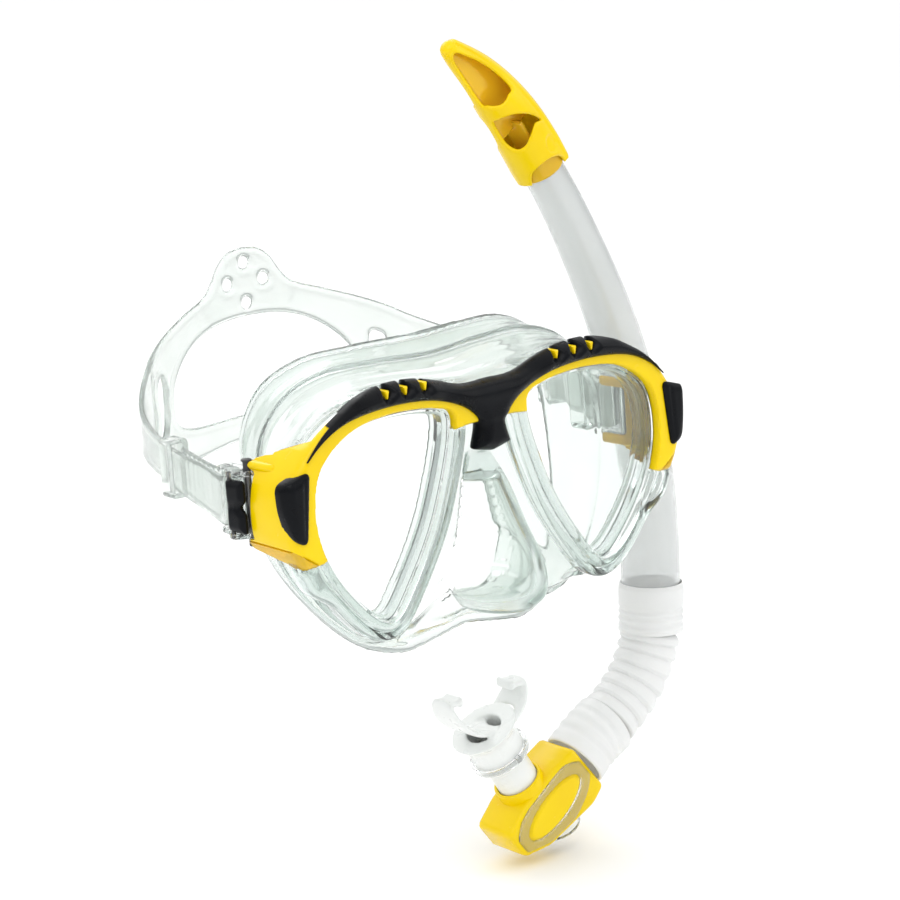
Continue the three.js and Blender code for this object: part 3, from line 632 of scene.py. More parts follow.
def on_both_sides(*pieces):
    """Makes the pieces on the left and again on the right. Each is (name, shape, look, slot, body, ...)."""
    for side, word in SIDES:
        for name, shape, look, slot, body, *more in pieces:
            piece(f"{name}_{word}", on_side(shape, side), look, slot, body.format(word), *more)


# ---- materials ----
def noise(tree, scale, detail=4.0):
    """A noise value over the object, with scale in features per metre."""
    place = tree.nodes.new("ShaderNodeTexCoord")
    node = tree.nodes.new("ShaderNodeTexNoise")
    node.inputs["Scale"].default_value = scale
    node.inputs["Detail"].default_value = detail
    tree.links.new(place.outputs["Object"], node.inputs["Vector"])
    return node.outputs["Fac"]


def mapped(tree, value, low, high):
    node = tree.nodes.new("ShaderNodeMapRange")
    node.inputs["From Min"].default_value = 0.3
    node.inputs["From Max"].default_value = 0.7
    node.inputs["To Min"].default_value = low
    node.inputs["To Max"].default_value = high
    tree.links.new(value, node.inputs["Value"])
    return node.outputs["Result"]


def surface(name, colour, shade, roughness, bump, grain, **constants):
    """A Principled material with procedural colour drift, roughness and fine bump.

    shade is the darker colour it drifts to, roughness its (low, high) range, bump the (strength,
    distance in metres) and grain the size of the bump in features per metre.
    """
    material = bpy.data.materials.new(name)
    material.use_nodes = True
    tree = material.node_tree
    shader = tree.nodes["Principled BSDF"]
    for key, value in constants.items():
        shader.inputs[key.replace("_", " ")].default_value = value
    mix = tree.nodes.new("ShaderNodeMix")
    mix.data_type = "RGBA"
    mix.inputs["A"].default_value = (*colour, 1)
    mix.inputs["B"].default_value = (*shade, 1)
    tree.links.new(mapped(tree, noise(tree, 60), 0, 1), mix.inputs["Factor"])
    tree.links.new(mix.outputs["Result"], shader.inputs["Base Color"])
    tree.links.new(mapped(tree, noise(tree, 240), *roughness), shader.inputs["Roughness"])
    relief = tree.nodes.new("ShaderNodeBump")
    relief.inputs["Strength"].default_value = bump[0]
    relief.inputs["Distance"].default_value = bump[1]
    tree.links.new(noise(tree, grain, 2.0), relief.inputs["Height"])
    tree.links.new(relief.outputs["Normal"], shader.inputs["Normal"])
    return material


def absorbing(material, colour, density):
    """Tints light by the thickness that it passes."""
    tree = material.node_tree
    volume = tree.nodes.new("ShaderNodeVolumeAbsorption")
    volume.inputs["Color"].default_value = (*colour, 1)
    volume.inputs["Density"].default_value = density
    tree.links.new(volume.outputs["Volume"], tree.nodes["Material Output"].inputs["Volume"])
    return material


def make_materials():
    """Each look: name, colour, darker colour, roughness range, bump, grain, shader constants, and, for a
    clear one, the colour and density with which it absorbs light."""
    looks = {}

    def look(name, *values, absorbs=None, **constants):
        material = surface(*values, **constants)
        looks[name] = absorbing(material, *absorbs) if absorbs else material

    look("glass", "tempered_glass", (1, 1, 1), (0.99, 1, 0.995), (0.0, 0.012), (0.01, 0.00002), 120,
         Transmission_Weight=1.0, IOR=1.4, absorbs=((0.75, 0.93, 0.88), 14))
    look("clear", "clear_polycarbonate", (1, 1, 1), (0.985, 0.995, 0.99), (0.02, 0.07), (0.05, 0.00008), 180,
         Transmission_Weight=0.97, IOR=1.46, absorbs=((0.72, 0.81, 0.78), 55))
    look("tube", "tube_polycarbonate", (0.975, 0.985, 0.98), (0.95, 0.965, 0.96), (0.05, 0.12),
         (0.05, 0.0001), 160, Transmission_Weight=0.7, IOR=1.5, absorbs=((0.6, 0.68, 0.66), 60))
    look("silicone", "clear_silicone", (0.97, 0.99, 0.975), (0.93, 0.965, 0.945), (0.06, 0.14),
         (0.08, 0.0001), 260, Transmission_Weight=0.93, IOR=1.24, absorbs=((0.68, 0.76, 0.73), 80))
    look("strap", "strap_silicone", (0.97, 0.985, 0.97), (0.92, 0.955, 0.93), (0.1, 0.2),
         (0.1, 0.0001), 420, Transmission_Weight=0.85, IOR=1.33, absorbs=((0.68, 0.77, 0.73), 75))
    look("frosted", "frosted_silicone", (0.99, 0.995, 0.99), (0.97, 0.98, 0.972), (0.3, 0.42),
         (0.12, 0.0001), 700, Transmission_Weight=0.25, IOR=1.35, absorbs=((0.85, 0.9, 0.87), 5))
    look("pale", "pale_silicone", (0.87, 0.89, 0.875), (0.83, 0.85, 0.83), (0.24, 0.36),
         (0.05, 0.0001), 500, IOR=1.35)
    look("yellow", "yellow_plastic", (0.91, 0.655, 0.0), (0.87, 0.6, 0.0), (0.16, 0.28),
         (0.06, 0.0001), 900, IOR=1.5, Specular_IOR_Level=0.22, Coat_Weight=0.06, Coat_Roughness=0.08)
    look("black", "black_soft_touch", (0.0015, 0.002, 0.003), (0.004, 0.005, 0.007), (0.24, 0.36),
         (0.12, 0.0001), 1500, IOR=1.5, Specular_IOR_Level=0.12)
    look("amber", "amber_plastic", (1.0, 0.68, 0.03), (0.98, 0.62, 0.02), (0.08, 0.2),
         (0.06, 0.0001), 300, Transmission_Weight=0.4, IOR=1.4, absorbs=((1.0, 0.6, 0.05), 60))
    look("pin", "dark_pin", (0.03, 0.03, 0.032), (0.05, 0.05, 0.052), (0.28, 0.4),
         (0.1, 0.0001), 900, IOR=1.5)
    return looks


LOOK = make_materials()

# ---- lenses, rings, coloured frame ----
lens_outline = anticlockwise(smooth(LENS_POINTS, 220))
trim_half = np.vstack([smooth(TRIM_POINTS[:12], 120, False), smooth(TRIM_POINTS[11:], 60, False)[1:]])
trim_outline = both_halves(trim_half)
mirrored_lens = anticlockwise(lens_outline * [-1, 1])


def lens():
    """A flat lens with a ground bevel round its edge."""
    front, rear, bevel = FRONT + LENS_RECESS, FRONT + LENS_RECESS + LENS_THICKNESS, 0.5
    loops = []
    for inset, y in ((GAP + bevel, front), (GAP, front + bevel), (GAP, rear - bevel), (GAP + bevel, rear)):
        edge = grown(lens_outline, -inset)
        loops.append(facing(edge[:, 0], edge[:, 1], np.full(len(edge), y)))
    return loft(loops)


# Cross-section of a clear lens ring: (distance out from the lens outline, y). Two rounded ridges
# with a groove between them run round its front.
RING_SECTION = [
    (0.0, -42.0), (0.0, -46.9), (0.25, -47.35), (0.8, FRONT), (2.2, FRONT), (2.7, -47.2), (3.1, -46.5),
    (3.5, -46.2), (3.9, -46.5), (4.3, -46.9), (5.6, -46.9), (6.3, -46.5), (6.8, -45.8), (RING_WIDTH, -44.9),
    (RING_WIDTH, -40.4), (6.7, -39.8), (6.2, -39.5), (6.1, -38.1), (5.7, -37.3), (5.0, RING_BACK),
    (-1.2, RING_BACK), (-1.7, -37.2), (-LEDGE, -37.7), (-LEDGE, -41.4), (-1.8, -41.8), (-1.3, -42.0)]


def lens_ring():
    """A clear ring round the lens, lower where the coloured frame lies on it."""
    normals = outward(lens_outline)
    middle = grown(lens_outline, 3.5)
    covered = ramp(depth_inside(middle, [trim_outline]), -0.6, 0.6)
    heel = 4.2 * ramp(middle[:, 0], 66, 76) * ramp(middle[:, 1], -30, -17) * (1 - ramp(middle[:, 1], -10, 0))
    loops = []
    for out, y in RING_SECTION:
        reach = out + heel * ramp(out, 3.0, RING_WIDTH)
        edge = lens_outline + normals * reach[:, None]
        level = np.maximum(y, FRONT + (TRIM_BACK + GAP - FRONT) * covered)
        loops.append(facing(edge[:, 0], edge[:, 1], level))
    return loft(loops, wrap=True)


def wing_back(z):
    """How far back the side wing reaches at each height."""
    depths, heights = np.array(WING_PROFILE[::-1]).T
    return np.interp(z, heights, depths)


def trim_front(points, depth):
    """Front of the coloured frame: a softly rounded edge that grows into the curved wing."""
    outer = depth_inside(points, [trim_outline])
    side = np.abs(points[:, 0])
    radius = TRIM_EDGE_R + (WING_EDGE_R - TRIM_EDGE_R) * ramp(side, 74, 86)
    return TRIM_FRONT + np.maximum(fillet(outer, radius), fillet(depth, LENS_EDGE_R))


def trim_back(points, depth):
    ring = np.maximum(depth_inside(points, [grown(lens_outline, RING_WIDTH + GAP)]),
                      depth_inside(points, [grown(mirrored_lens, RING_WIDTH + GAP)]))
    rear = np.maximum(wing_back(points[:, 1]), TRIM_BACK)
    rear = rear - 1.2 * (1 - ramp(depth, 0, 1.2))
    rear = np.where(np.abs(points[:, 0]) < 82, np.minimum(rear, -31), rear)
    wing = (np.abs(points[:, 0]) > 76) & (ring < 0)
    return np.where(wing, np.maximum(rear, TRIM_BACK), TRIM_BACK)


FORK_PLAN = [[83.4, -35], [85.6, -35], [86.4, -30], [86.9, -21.4], [86.2, -19.4], [84.4, -18.8],
             [83.2, -20.6], [82.8, -26]]


def fork_arms():
    """Two arms behind the wing that hold the buckle pin at both ends."""
    plan = rounded_corners(FORK_PLAN, 2.4)
    bore = circle(PIVOT, PIN_R + 0.1)
    arms = []
    for low in (BUCKLE_Z + ARM_HALF, BUCKLE_Z - ARM_HALF - ARM):
        arms.append(round_plate(plan, [bore], 0.4, low, low + ARM, 1.2, in_plan))
    return joined(*arms)


def notch_outline(x, spread, floor):
    """A V-shaped grip notch in the brow."""
    above = 47.0
    return anticlockwise(np.array([
        [x - spread, above], [x - 0.25, floor], [x + 0.35, floor], [x + spread, above]]))


def notch_teeth():
    """Coloured teeth of the frame that show in the brow cover's notches."""
    floor, top, half_floor, half_top = NOTCH_FLOOR - 0.1, 43.0, 0.35, 1.0
    front, back = -50.3, -44.6
    teeth = []
    for x in NOTCHES:
        tooth = np.array([[x - half_floor, floor], [x + half_floor, floor],
                          [x + half_top, top], [x - half_top, top]])
        teeth.append(plate(even(tooth, 60, True), [], 0.25, rounded_edge(front, 0.6, 1), flat(back), facing))
    return joined(*teeth)


def end_of_wing(points):
    """Distance below the slanted line where the wing's coloured part turns into its amber end."""
    side = np.abs(points[:, 0])
    return np.where(side > 60, WING_END_Z - 0.7 * (WING_END_X - side) - points[:, 1], -50.0)


def yellow_frame():
    """The coloured frame: its face and wings, the fork arms behind them and the notch teeth."""
    holes = [grown(lens_outline, 0.5), grown(mirrored_lens, 0.5)]
    face = plate(trim_outline, holes, 0.6, trim_front, trim_back, facing, lambda points: -end_of_wing(points))
    arms, teeth = fork_arms(), notch_teeth()
    return joined(face, arms, on_side(arms, -1), teeth, on_side(teeth, -1))


def wing_end():
    """The amber lower end of a side wing."""
    def below(points):
        return np.where(points[:, 0] > 0, end_of_wing(points) - 0.05, -50.0)
    return plate(trim_outline, [grown(lens_outline, 0.5)], 0.5, trim_front, trim_back, facing, below)


def wing_liner():
    """An amber panel behind the wing with two prongs that reach back past the buckle. Its amber is partly the
    wing's own translucent plastic and partly painted light, which stands in for light shining through the
    wing.
    """
    outline = rounded_corners([[-33, -5.2], [-14, -5.2], [-14, -1.4], [-26, -1.4], [-26, 17], [-14, 17],
                               [-14, 20.8], [-33, 20.8]], 1.6)

    def side(sign):
        def height(points, depth):
            middle = np.interp(points[:, 0], [-33, -24, -11], [83.6, 80.4, 79.2])
            return middle + sign * (0.8 - 0.5 * (1 - ramp(depth, 0, 0.8)))
        return height
    return plate(outline, [], 0.5, side(1), side(-1), from_side)


# ---- brow cover and side pads ----
brow_half = np.vstack([
    smooth(BROW_TOP, 160, False), smooth(BROW_UNDER, 150, False)[1:],
    even(np.array([[8.2, 14.6], [7.6, 14.1], BROW_NOSE_END]), 14, False)[1:]])
brow_outline = both_halves(brow_half)


def notch_depth(points):
    """Distance into the nearest notch: positive inside one."""
    side = np.stack([np.abs(points[:, 0]), points[:, 1]], axis=1)
    return np.max([depth_inside(side, [notch_outline(x, 1.9, NOTCH_FLOOR)]) for x in NOTCHES], axis=0)


def brow_front(points, depth):
    """A crowned front with a raised middle, and a shallow dip between the two brows."""
    crown = dome(depth, BROW_CROWN_REACH) ** 0.7
    x = np.abs(points[:, 0])
    nose = 1 - ramp(x, 6, 16)
    dip = 0.9 * ramp(x, 10, 20) * (1 - ramp(x, 20, 27))
    crest = 0.5 * np.exp(-((points[:, 1] - 33 - 0.08 * x) / 2.2) ** 2) * (1 - ramp(x, 14, 24))
    over_trim = ramp(depth_inside(points, [trim_outline]), -1.0, 1.5)
    low = TRIM_FRONT - GAP - 0.5 + 2.9 * (1 - over_trim) * (1 - ramp(x, 50, 60))
    return low + (BROW_FRONT - low) * crown * (1 - 0.12 * nose) + (dip - crest) * crown


def brow_back(points, depth):
    """The rounded back of the brow cover, stepped where it lies on the coloured frame."""
    under_trim = depth_inside(points, [grown(trim_outline, GAP)])
    thinnest = brow_front(points, depth) + 0.3
    back = np.where(under_trim > 0, TRIM_FRONT - GAP, BROW_BACK - fillet(depth, BROW_BACK_R))
    return np.maximum(back, thinnest)


def brow_cover():
    """The soft cover over both brows and the bridge of the nose, with its grip notches cut out."""
    return plate(brow_outline, [], 0.4, brow_front, brow_back, facing, lambda points: -notch_depth(points))


def pad_front(points, depth):
    """A soft pad, evenly crowned, with one shallow crease along its inner side."""
    rise = dome(depth, PAD_CROWN_REACH) ** 0.6
    beside_crease = points[:, 0] - PAD_CREASE_X + 0.05 * points[:, 1]
    crease = 0.35 * np.exp(-(beside_crease / 0.8) ** 2) * ramp(depth, 0.8, 2.4)
    low = TRIM_FRONT - 0.5
    outer = ramp(points[:, 0], 87, 92)
    return low + (PAD_FRONT - low) * rise + crease + 2.6 * outer ** 2


def pad_back(points, depth):
    on_trim = depth_inside(points, [grown(trim_outline, GAP)]) > 0
    wing = TRIM_FRONT - GAP + fillet(depth_inside(points, [trim_outline]), WING_EDGE_R)
    return np.where(on_trim, np.maximum(wing, pad_front(points, depth) + 0.6), PAD_BACK)


def side_pad():
    """A soft grip pad on a side wing."""
    outline = rounded_corners(PAD_POINTS, 3.0, 10)
    return plate(outline, [], 0.4, pad_front, pad_back, facing)


def make_mask_front():
    piece("yellow_frame", yellow_frame(), "yellow", "yellow_plastic", "mask")
    piece("brow_cover", brow_cover(), "black", "black_rubber", "mask")
    on_both_sides(
        ("lens", lens(), "glass", "glass", "mask", 20),
        ("lens_ring", lens_ring(), "clear", "clear_plastic", "mask", 50),
        ("side_pad", side_pad(), "black", "black_rubber", "mask"),
        ("wing_end", wing_end(), "amber", "amber_plastic", "mask", SHARP_ANGLE, False),
        # The amber panel behind each wing is partly painted light: it stands in for light shining through the
        # translucent wing.
        ("wing_liner", wing_liner(), "amber", "amber_plastic", "mask", SHARP_ANGLE, False))


# ---- skirt ----
def skirt_loop(blend, out=0.0, back=0.0, count=200):
    """A loop round the skirt between its front edge (blend 0) and its rear edge (1)."""
    front = np.array([[x, SKIRT_FRONT, z] for x, z in SKIRT_FRONT_EDGE])
    half = front + blend * (np.array(SKIRT_REAR_EDGE) - front)
    other = half[1:-1][::-1] * [-1, 1, 1]
    loop = smooth(np.vstack([half, other]), count)
    view = loop[:, [0, 2]]
    normals = outward(anticlockwise(view))
    if signed_area(view) <= 0:
        normals = normals[::-1]
    moved = loop + out * np.stack([normals[:, 0], np.zeros(count), normals[:, 1]], axis=1)
    return moved + [0, back, 0]


# Outer wall of the skirt from front to back: (blend, distance out). Two soft steps run round it.
SKIRT_STEPS = [(0, 0), (0.04, 0.5), (0.1, 0.3), (0.22, -0.5), (0.4, -0.9), (0.5, -0.4), (0.56, 0.9),
               (0.62, 1.1), (0.7, 0.4), (0.84, 0.1), (0.93, 0.9), (1.0, 1.2)]


def skirt_walls():
    outer = [skirt_loop(blend, out) for blend, out in SKIRT_STEPS]
    inner = [skirt_loop(blend, out - SKIRT_WALL) for blend, out in reversed(SKIRT_STEPS)]
    return loft(outer + inner, wrap=True)


NOSE_SIDES = 64


def nose_solid(wall):
    """The nose pocket as a solid: grown inwards and back by a wall thickness for its hollow."""
    sections = np.array(NOSE_SECTIONS[1 if wall else 0:], float)
    rows = spline(sections, np.linspace(0, 1, 30))
    angles = angles_round(NOSE_SIDES)
    loops = []
    for z, half, front, back in rows:
        y = (front + back) / 2 + ((back - front) / 2 - wall) * np.cos(angles) + 2 * wall
        pinch = 1 - 0.12 * np.cos(angles / 2) ** 8
        x = (half - wall) * np.sin(angles) * pinch
        loops.append(np.stack([x, y, np.full(NOSE_SIDES, z + wall)], axis=1))
    return loft(loops)


def skirt_front_plate():
    """The flat front of the skirt, with an opening behind each lens."""
    edge = skirt_loop(0)[:, [0, 2]]
    holes = [grown(lens_outline, -LEDGE - 0.4), grown(mirrored_lens, -LEDGE - 0.4)]
    return plate(anticlockwise(edge), holes, 1.2, flat(SKIRT_FRONT), flat(SKIRT_FRONT + SKIRT_WALL), facing)


def seal_flap():
    """The thin face seal that turns in from the skirt's rear edge."""
    rear = skirt_loop(1.0, 0.4)
    centre = np.array([0, 0, 4.0])
    inward = centre - rear
    inward[:, 1] = 0
    inward = unit(inward)
    up = rear[:, 2]
    under_nose = (1 - ramp(np.abs(rear[:, 0]), 6, 26)) * (up < 0)
    width = 9 + 6 * ramp(up, 10, 46) + 1.5 * ramp(-up, 20, 50) - 3.5 * under_nose
    stations = np.linspace(0, 1, 9)
    upper, lower = [], []
    for share in stations:
        bow = 2.0 * math.sin(math.pi * min(share * 1.4, 1)) - 4.5 * share ** 2
        thick = SEAL_EDGE_THICKNESS - 0.55 * share
        middle = rear + inward * (width * share)[:, None] + [0, bow, 0]
        upper.append(middle + [0, thick, 0])
        lower.append(middle - [0, thick, 0])
    return loft(upper + lower[::-1], wrap=True)


def skirt():
    """Walls, nose pocket, front plate and face seal, melted into one clear skin."""
    hollow = nose_solid(NOSE_WALL)
    parts = [carved(shape, hollow) for shape in (skirt_walls(), nose_solid(0), skirt_front_plate())]
    return melted(joined(*parts, seal_flap()), voxel=0.75, passes=9)


# ---- strap ----
def strap_plan():
    """Plan curve of the strap from the middle of the back to the buckle, as an evenly spaced line."""
    angles = np.linspace(0, math.pi / 2, 400)
    power = 2 / STRAP_SQUARENESS
    curve = np.stack([STRAP_HALF_WIDTH * np.sin(angles) ** power,
                      STRAP_SHOULDER + STRAP_DEPTH * np.cos(angles) ** power], axis=1)
    curve = np.vstack([curve, [ROLLER[0] + 2, ROLLER[1]]])
    return even(curve, 900, False)


PLAN = strap_plan()
PLAN_RUN = np.concatenate([[0], np.cumsum(np.linalg.norm(np.diff(PLAN, axis=0), axis=1))])
BAND_LENGTH = float(np.interp(-BAND_START, -PLAN[:, 1], PLAN_RUN))


def on_band(s, z, height):
    """A point of the strap: s along it from the middle of the back, height out from its middle."""
    distance = np.abs(s)
    x, y = np.interp(distance, PLAN_RUN, PLAN[:, 0]), np.interp(distance, PLAN_RUN, PLAN[:, 1])
    ahead = np.stack([np.interp(distance + 1.5, PLAN_RUN, PLAN[:, k]) for k in (0, 1)])
    behind = np.stack([np.interp(np.maximum(distance - 1.5, 0), PLAN_RUN, PLAN[:, k]) for k in (0, 1)])
    behind[0] = np.where(distance < 1.5, -np.interp(1.5 - distance, PLAN_RUN, PLAN[:, 0]), behind[0])
    along = ahead - behind
    along /= np.linalg.norm(along, axis=0)
    normal = np.stack([-along[1], along[0]])
    return np.stack([np.sign(s + 1e-12) * (x + height * normal[0]), y + height * normal[1], z], axis=1)


def band_edge(distance, column):
    """Height of the strap's bottom (column 1) or top (column 2) at a distance from its middle."""
    edges = np.array(BAND_EDGES, float)
    fine = spline(edges[:, [0, column]], np.linspace(0, 1, 600))
    return np.interp(distance, fine[:, 0], fine[:, 1])


def band_outline():
    s = np.linspace(-BAND_LENGTH, BAND_LENGTH, 420)
    bottom = np.stack([s, band_edge(np.abs(s), 1)], axis=1)
    top = np.stack([s, band_edge(np.abs(s), 2)], axis=1)[::-1]
    return anticlockwise(np.vstack([bottom, top]))


def to_band(points):
    """Turns (x, z) points of the strap's back view into distances along it."""
    points = np.asarray(points, float)
    run = np.interp(np.abs(points[:, 0]), PLAN[:, 0][:600], PLAN_RUN[:600])
    return np.stack([np.sign(points[:, 0]) * run, points[:, 1]], axis=1)


def band_side(sign):
    """One face of the strap: rounded at its edges, thicker on the crown pad and with a fine rim."""
    def height(points, depth):
        half = STRAP_THICKNESS / 2
        edge = np.sqrt(np.maximum(dome(depth, 1.1), 0.04))
        rim = 0.28 * np.exp(-((depth - 1.9) / 0.8) ** 2)
        s = np.abs(points[:, 0])
        pad = 0.3 * (1 - ramp(s - 0.55 * (points[:, 1] - 45), 17, 19)) * ramp(points[:, 1], 43, 46)
        step = 0.22 * (1 - ramp(s, 61, 62.5))
        return sign * (half * edge + (rim + pad + step) * ramp(depth, 0, 1.2) - 0.12)
    return height


def strap_band():
    oval = [*OVAL_POINTS, *[[-x, z] for x, z in OVAL_POINTS[1:-1][::-1]]]
    holes = [to_band(smooth(oval, 160))]
    for side, _ in SIDES:
        slot = smooth([[SLOT_CENTRE[0] + x, SLOT_CENTRE[1] + z] for x, z in SLOT_POINTS], 60)
        holes.append(to_band(slot * [side, 1]))
    holes += [circle(centre, STRAP_HOLE_R, 28) for centre in STRAP_HOLES]
    return plate(band_outline(), holes, 0.8, band_side(1), band_side(-1), on_band)


def strap_end():
    """The strap's free end: in along the side, round the roller, and back as a ribbed tail."""
    centre_x, half = STRAP_HALF_WIDTH, STRAP_THICKNESS / 2
    bend = WRAP_R - half
    run = [[centre_x - 0.2, BAND_START - GAP, 125], [centre_x, 14, 135], [centre_x, 8, 141],
           [centre_x, 0, 150]]
    angles = np.linspace(0.12, 1.0, 9) * math.pi
    wrap = [[ROLLER[0] + bend * math.cos(a - 0.12), ROLLER[1] - bend * math.sin(a), 160] for a in angles]
    tail_x = centre_x - STRAP_THICKNESS - 0.7
    tail = [[tail_x - 1.6, -6, 160], [tail_x, 0, 150], [tail_x, 8, 141], [tail_x, BAND_START - 5.5, 128]]
    line = np.array(run + wrap + tail)
    line = even(spline(line, np.linspace(0, 1, 600)), 170, False)
    along = unit(np.gradient(line[:, :2], axis=0))
    normal = np.stack([-along[:, 1], along[:, 0]], axis=1)
    count = len(line)
    loops = []
    for i, (x, y, distance) in enumerate(line):
        low = band_edge(distance, 1) + 0.2
        high = band_edge(distance, 2) - 0.2
        end = min(i, count - 1 - i)
        thick = half * (0.45 + 0.55 * ramp(end, 0, 2))
        rib = 0.12 * math.sin(2 * math.pi * i / 7) * ramp(i, 0.62 * count, 0.66 * count)
        section = []
        for across, up in section_ring():
            offset = (thick + (rib if across < 0 else 0)) * across
            z = (low + high) / 2 + up * (high - low) / 2
            section.append([x + normal[i, 0] * offset, y + normal[i, 1] * offset, z])
        loops.append(section)
    return loft(loops)


def section_ring():
    """A flat rounded section: (across, up), each from -1 to 1."""
    edge = [(math.cos(a), math.sin(a)) for a in np.linspace(-math.pi / 2, math.pi / 2, 5)]
    rise = np.linspace(-0.9, 0.9, 9)
    right = [(1, u) for u in rise]
    left = [(-1, u) for u in rise[::-1]]
    top = [(0.75, 0.965), (0.3, 0.995), (-0.3, 0.995), (-0.75, 0.965)]
    bottom = [(-0.75, -0.965), (-0.3, -0.995), (0.3, -0.995), (0.75, -0.965)]
    return right + top + left + bottom


def tail_keeper():
    """A loop that holds the strap's tail against the strap."""
    x_in, x_out = STRAP_HALF_WIDTH - 5.6, STRAP_HALF_WIDTH + 2.6
    outer = rectangle((x_in, 3.6), (x_out, 24.6), 1.8)
    inner = rectangle((x_in + 1.6, 5.2), (x_out - 1.3, 23), 0.9)
    return round_plate(outer, [inner], 0.35, BAND_START - 5, BAND_START + 2.2, 0.55, facing)


def make_soft_mask():
    piece("skirt", skirt(), "silicone", "silicone", "mask", 60)
    piece("strap_band", strap_band(), "strap", "silicone", "mask", 50)
    for side, word in SIDES:
        end = piece(f"strap_end_{word}", on_side(strap_end(), side), "strap", "silicone", None, 60)
        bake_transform(end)
        piece(f"tail_keeper_{word}", on_side(tail_keeper(), side), "strap", "silicone", "mask")


# ---- buckles ----
BUCKLE_PLAN = [[83.4, -22.6], [86, -24], [89.4, -23], [92.9, -20], [93.1, -17], [90.2, -15], [89.6, -8],
               [88, -6.6], [84, -6.6], [82.6, -8.5], [82.6, -21]]


def buckle():
    """Two cheeks joined by a barrel that turns on the buckle pin."""
    plan = rounded_corners(BUCKLE_PLAN, 1.8)
    holes = [circle(PIVOT, PIN_R + GAP), circle(ROLLER, 1 + GAP), circle(LEVER_PIN, LEVER_PIN_R + 0.1)]
    cheeks = [round_plate(plan, holes, 0.4, low, low + CHEEK, 0.6, in_plan)
              for low in (BUCKLE_Z + BUCKLE_HALF, BUCKLE_Z - BUCKLE_HALF - CHEEK)]
    length = 2 * BUCKLE_HALF + 1
    profile = sleeve_profile(length, BARREL_R, PIN_R + GAP)
    barrel = turned([*PIVOT, BUCKLE_Z - length / 2], UP, profile, wrap=True)
    return joined(*cheeks, barrel)


def lever():
    """A two-lobed press lever with a grip notch on its front edge."""
    low, high = BUCKLE_Z - BUCKLE_HALF + 0.5, BUCKLE_Z + BUCKLE_HALF - 0.5
    front, rear = LEVER_FRONT, LEVER_REAR
    outline = rounded_corners([[front, low], [front - 0.1, BUCKLE_Z - 2.2], [front + 2.2, BUCKLE_Z - 0.5],
                               [front + 2.2, BUCKLE_Z + 0.5], [front - 0.1, BUCKLE_Z + 2.2], [front, high],
                               [rear, high - 0.4], [rear, low + 0.4]], 1.3)

    def outer(points, depth):
        base = np.interp(points[:, 0], [front, -18.4, rear], [91.6, 92.4, 92.0])
        waist = 0.5 * np.exp(-((points[:, 1] - BUCKLE_Z) / 1.8) ** 2)
        return base + 1.1 * dome(depth, 2.6) - waist * ramp(depth, 0, 2)

    def inner(points, depth):
        base = np.interp(points[:, 0], [front, -18, rear], [90.5, 90.3, 90.6])
        return base + 0.3 * (1 - np.clip(depth, 0, 1))

    return plate(outline, [], 0.35, outer, inner, from_side)


def roller():
    """The bar that the strap wraps, on two thin stubs."""
    half, stub = BUCKLE_HALF - GAP, BUCKLE_HALF + CHEEK
    core = rod([*ROLLER, BUCKLE_Z - half], [*ROLLER, BUCKLE_Z + half], ROLLER_R)
    return joined(core, rod([*ROLLER, BUCKLE_Z - stub], [*ROLLER, BUCKLE_Z + stub], 1.0, 0.2))


def buckle_pin():
    """A rod through both fork arms, with a low head at its top."""
    tall = ARM_HALF + ARM
    head = turned([*PIVOT, BUCKLE_Z + tall - 0.2], UP, [(0, 1.9), (0.3, 1.9), (0.6, 1.6), (0.75, 0.7)])
    return joined(rod([*PIVOT, BUCKLE_Z - tall], [*PIVOT, BUCKLE_Z + tall], PIN_R - GAP / 2), head)


def lever_pin():
    stub = BUCKLE_HALF + CHEEK
    return rod([*LEVER_PIN, BUCKLE_Z - stub], [*LEVER_PIN, BUCKLE_Z + stub], LEVER_PIN_R, 0.2)


def make_buckles():
    on_both_sides(
        ("buckle_pin", buckle_pin(), "pin", "dark_pin", "mask"),
        ("buckle", buckle(), "clear", "clear_plastic", "buckle_{}"),
        ("lever_pin", lever_pin(), "pin", "dark_pin", "buckle_{}"),
        ("strap_roller", roller(), "clear", "clear_plastic", "roller_{}"),
        ("release_lever", lever(), "black", "black_rubber", "lever_{}"))


# ---- snorkel keeper ----
def strap_clip():
    """A rectangular loop that slides on the strap."""
    outer = rectangle(*CLIP_OUTER, 2.2)
    inner = rectangle(*CLIP_INNER, 1.2)
    return round_plate(outer, [inner], 0.35, TUBE_Y - 4, TUBE_Y + 5, 0.6, facing)


def tube_radius(t):
    """Radius of the snorkel tube, from 0 at its top to 1 at its bottom."""
    return TUBE_TOP_R + (TUBE_BOTTOM_R - TUBE_TOP_R) * t


def tube_ring():
    """A ring round the snorkel with a lug that turns on the keeper pin."""
    places = (KEEPER_RING_T, KEEPER_RING_T + 1e-3, KEEPER_RING_T - 1e-3)
    centre, ahead, behind = (spline(TUBE_PATH, t)[0] for t in places)
    axis = unit(np.array([ahead[0] - behind[0], 0, ahead[1] - behind[1]]))
    start = np.array([centre[0], TUBE_Y, centre[1]]) - KEEPER_RING_LENGTH / 2 * axis
    profile = sleeve_profile(KEEPER_RING_LENGTH, KEEPER_RING_R, tube_radius(KEEPER_RING_T) + 0.55, 0.8)
    ring = turned(start, axis, profile, wrap=True, sides=72)
    outline = rectangle((93.4, TUBE_Y - 3.6), (100.5, TUBE_Y + 3.6), 1.2)
    lug = round_plate(outline, [], 0.4, BUCKLE_Z - 3.6, BUCKLE_Z + 3.6, 0.9, in_plan)
    return joined(ring, lug)


def keeper_pin():
    profile = [(0, 2.6), (0.3, 2.9), (0.8, 2.9), (1.1, 2.4), (1.1, 1.8), (4.8, 1.8), (5.3, 1.3)]
    return turned([92.1, TUBE_Y, BUCKLE_Z], [1, 0, 0], profile)


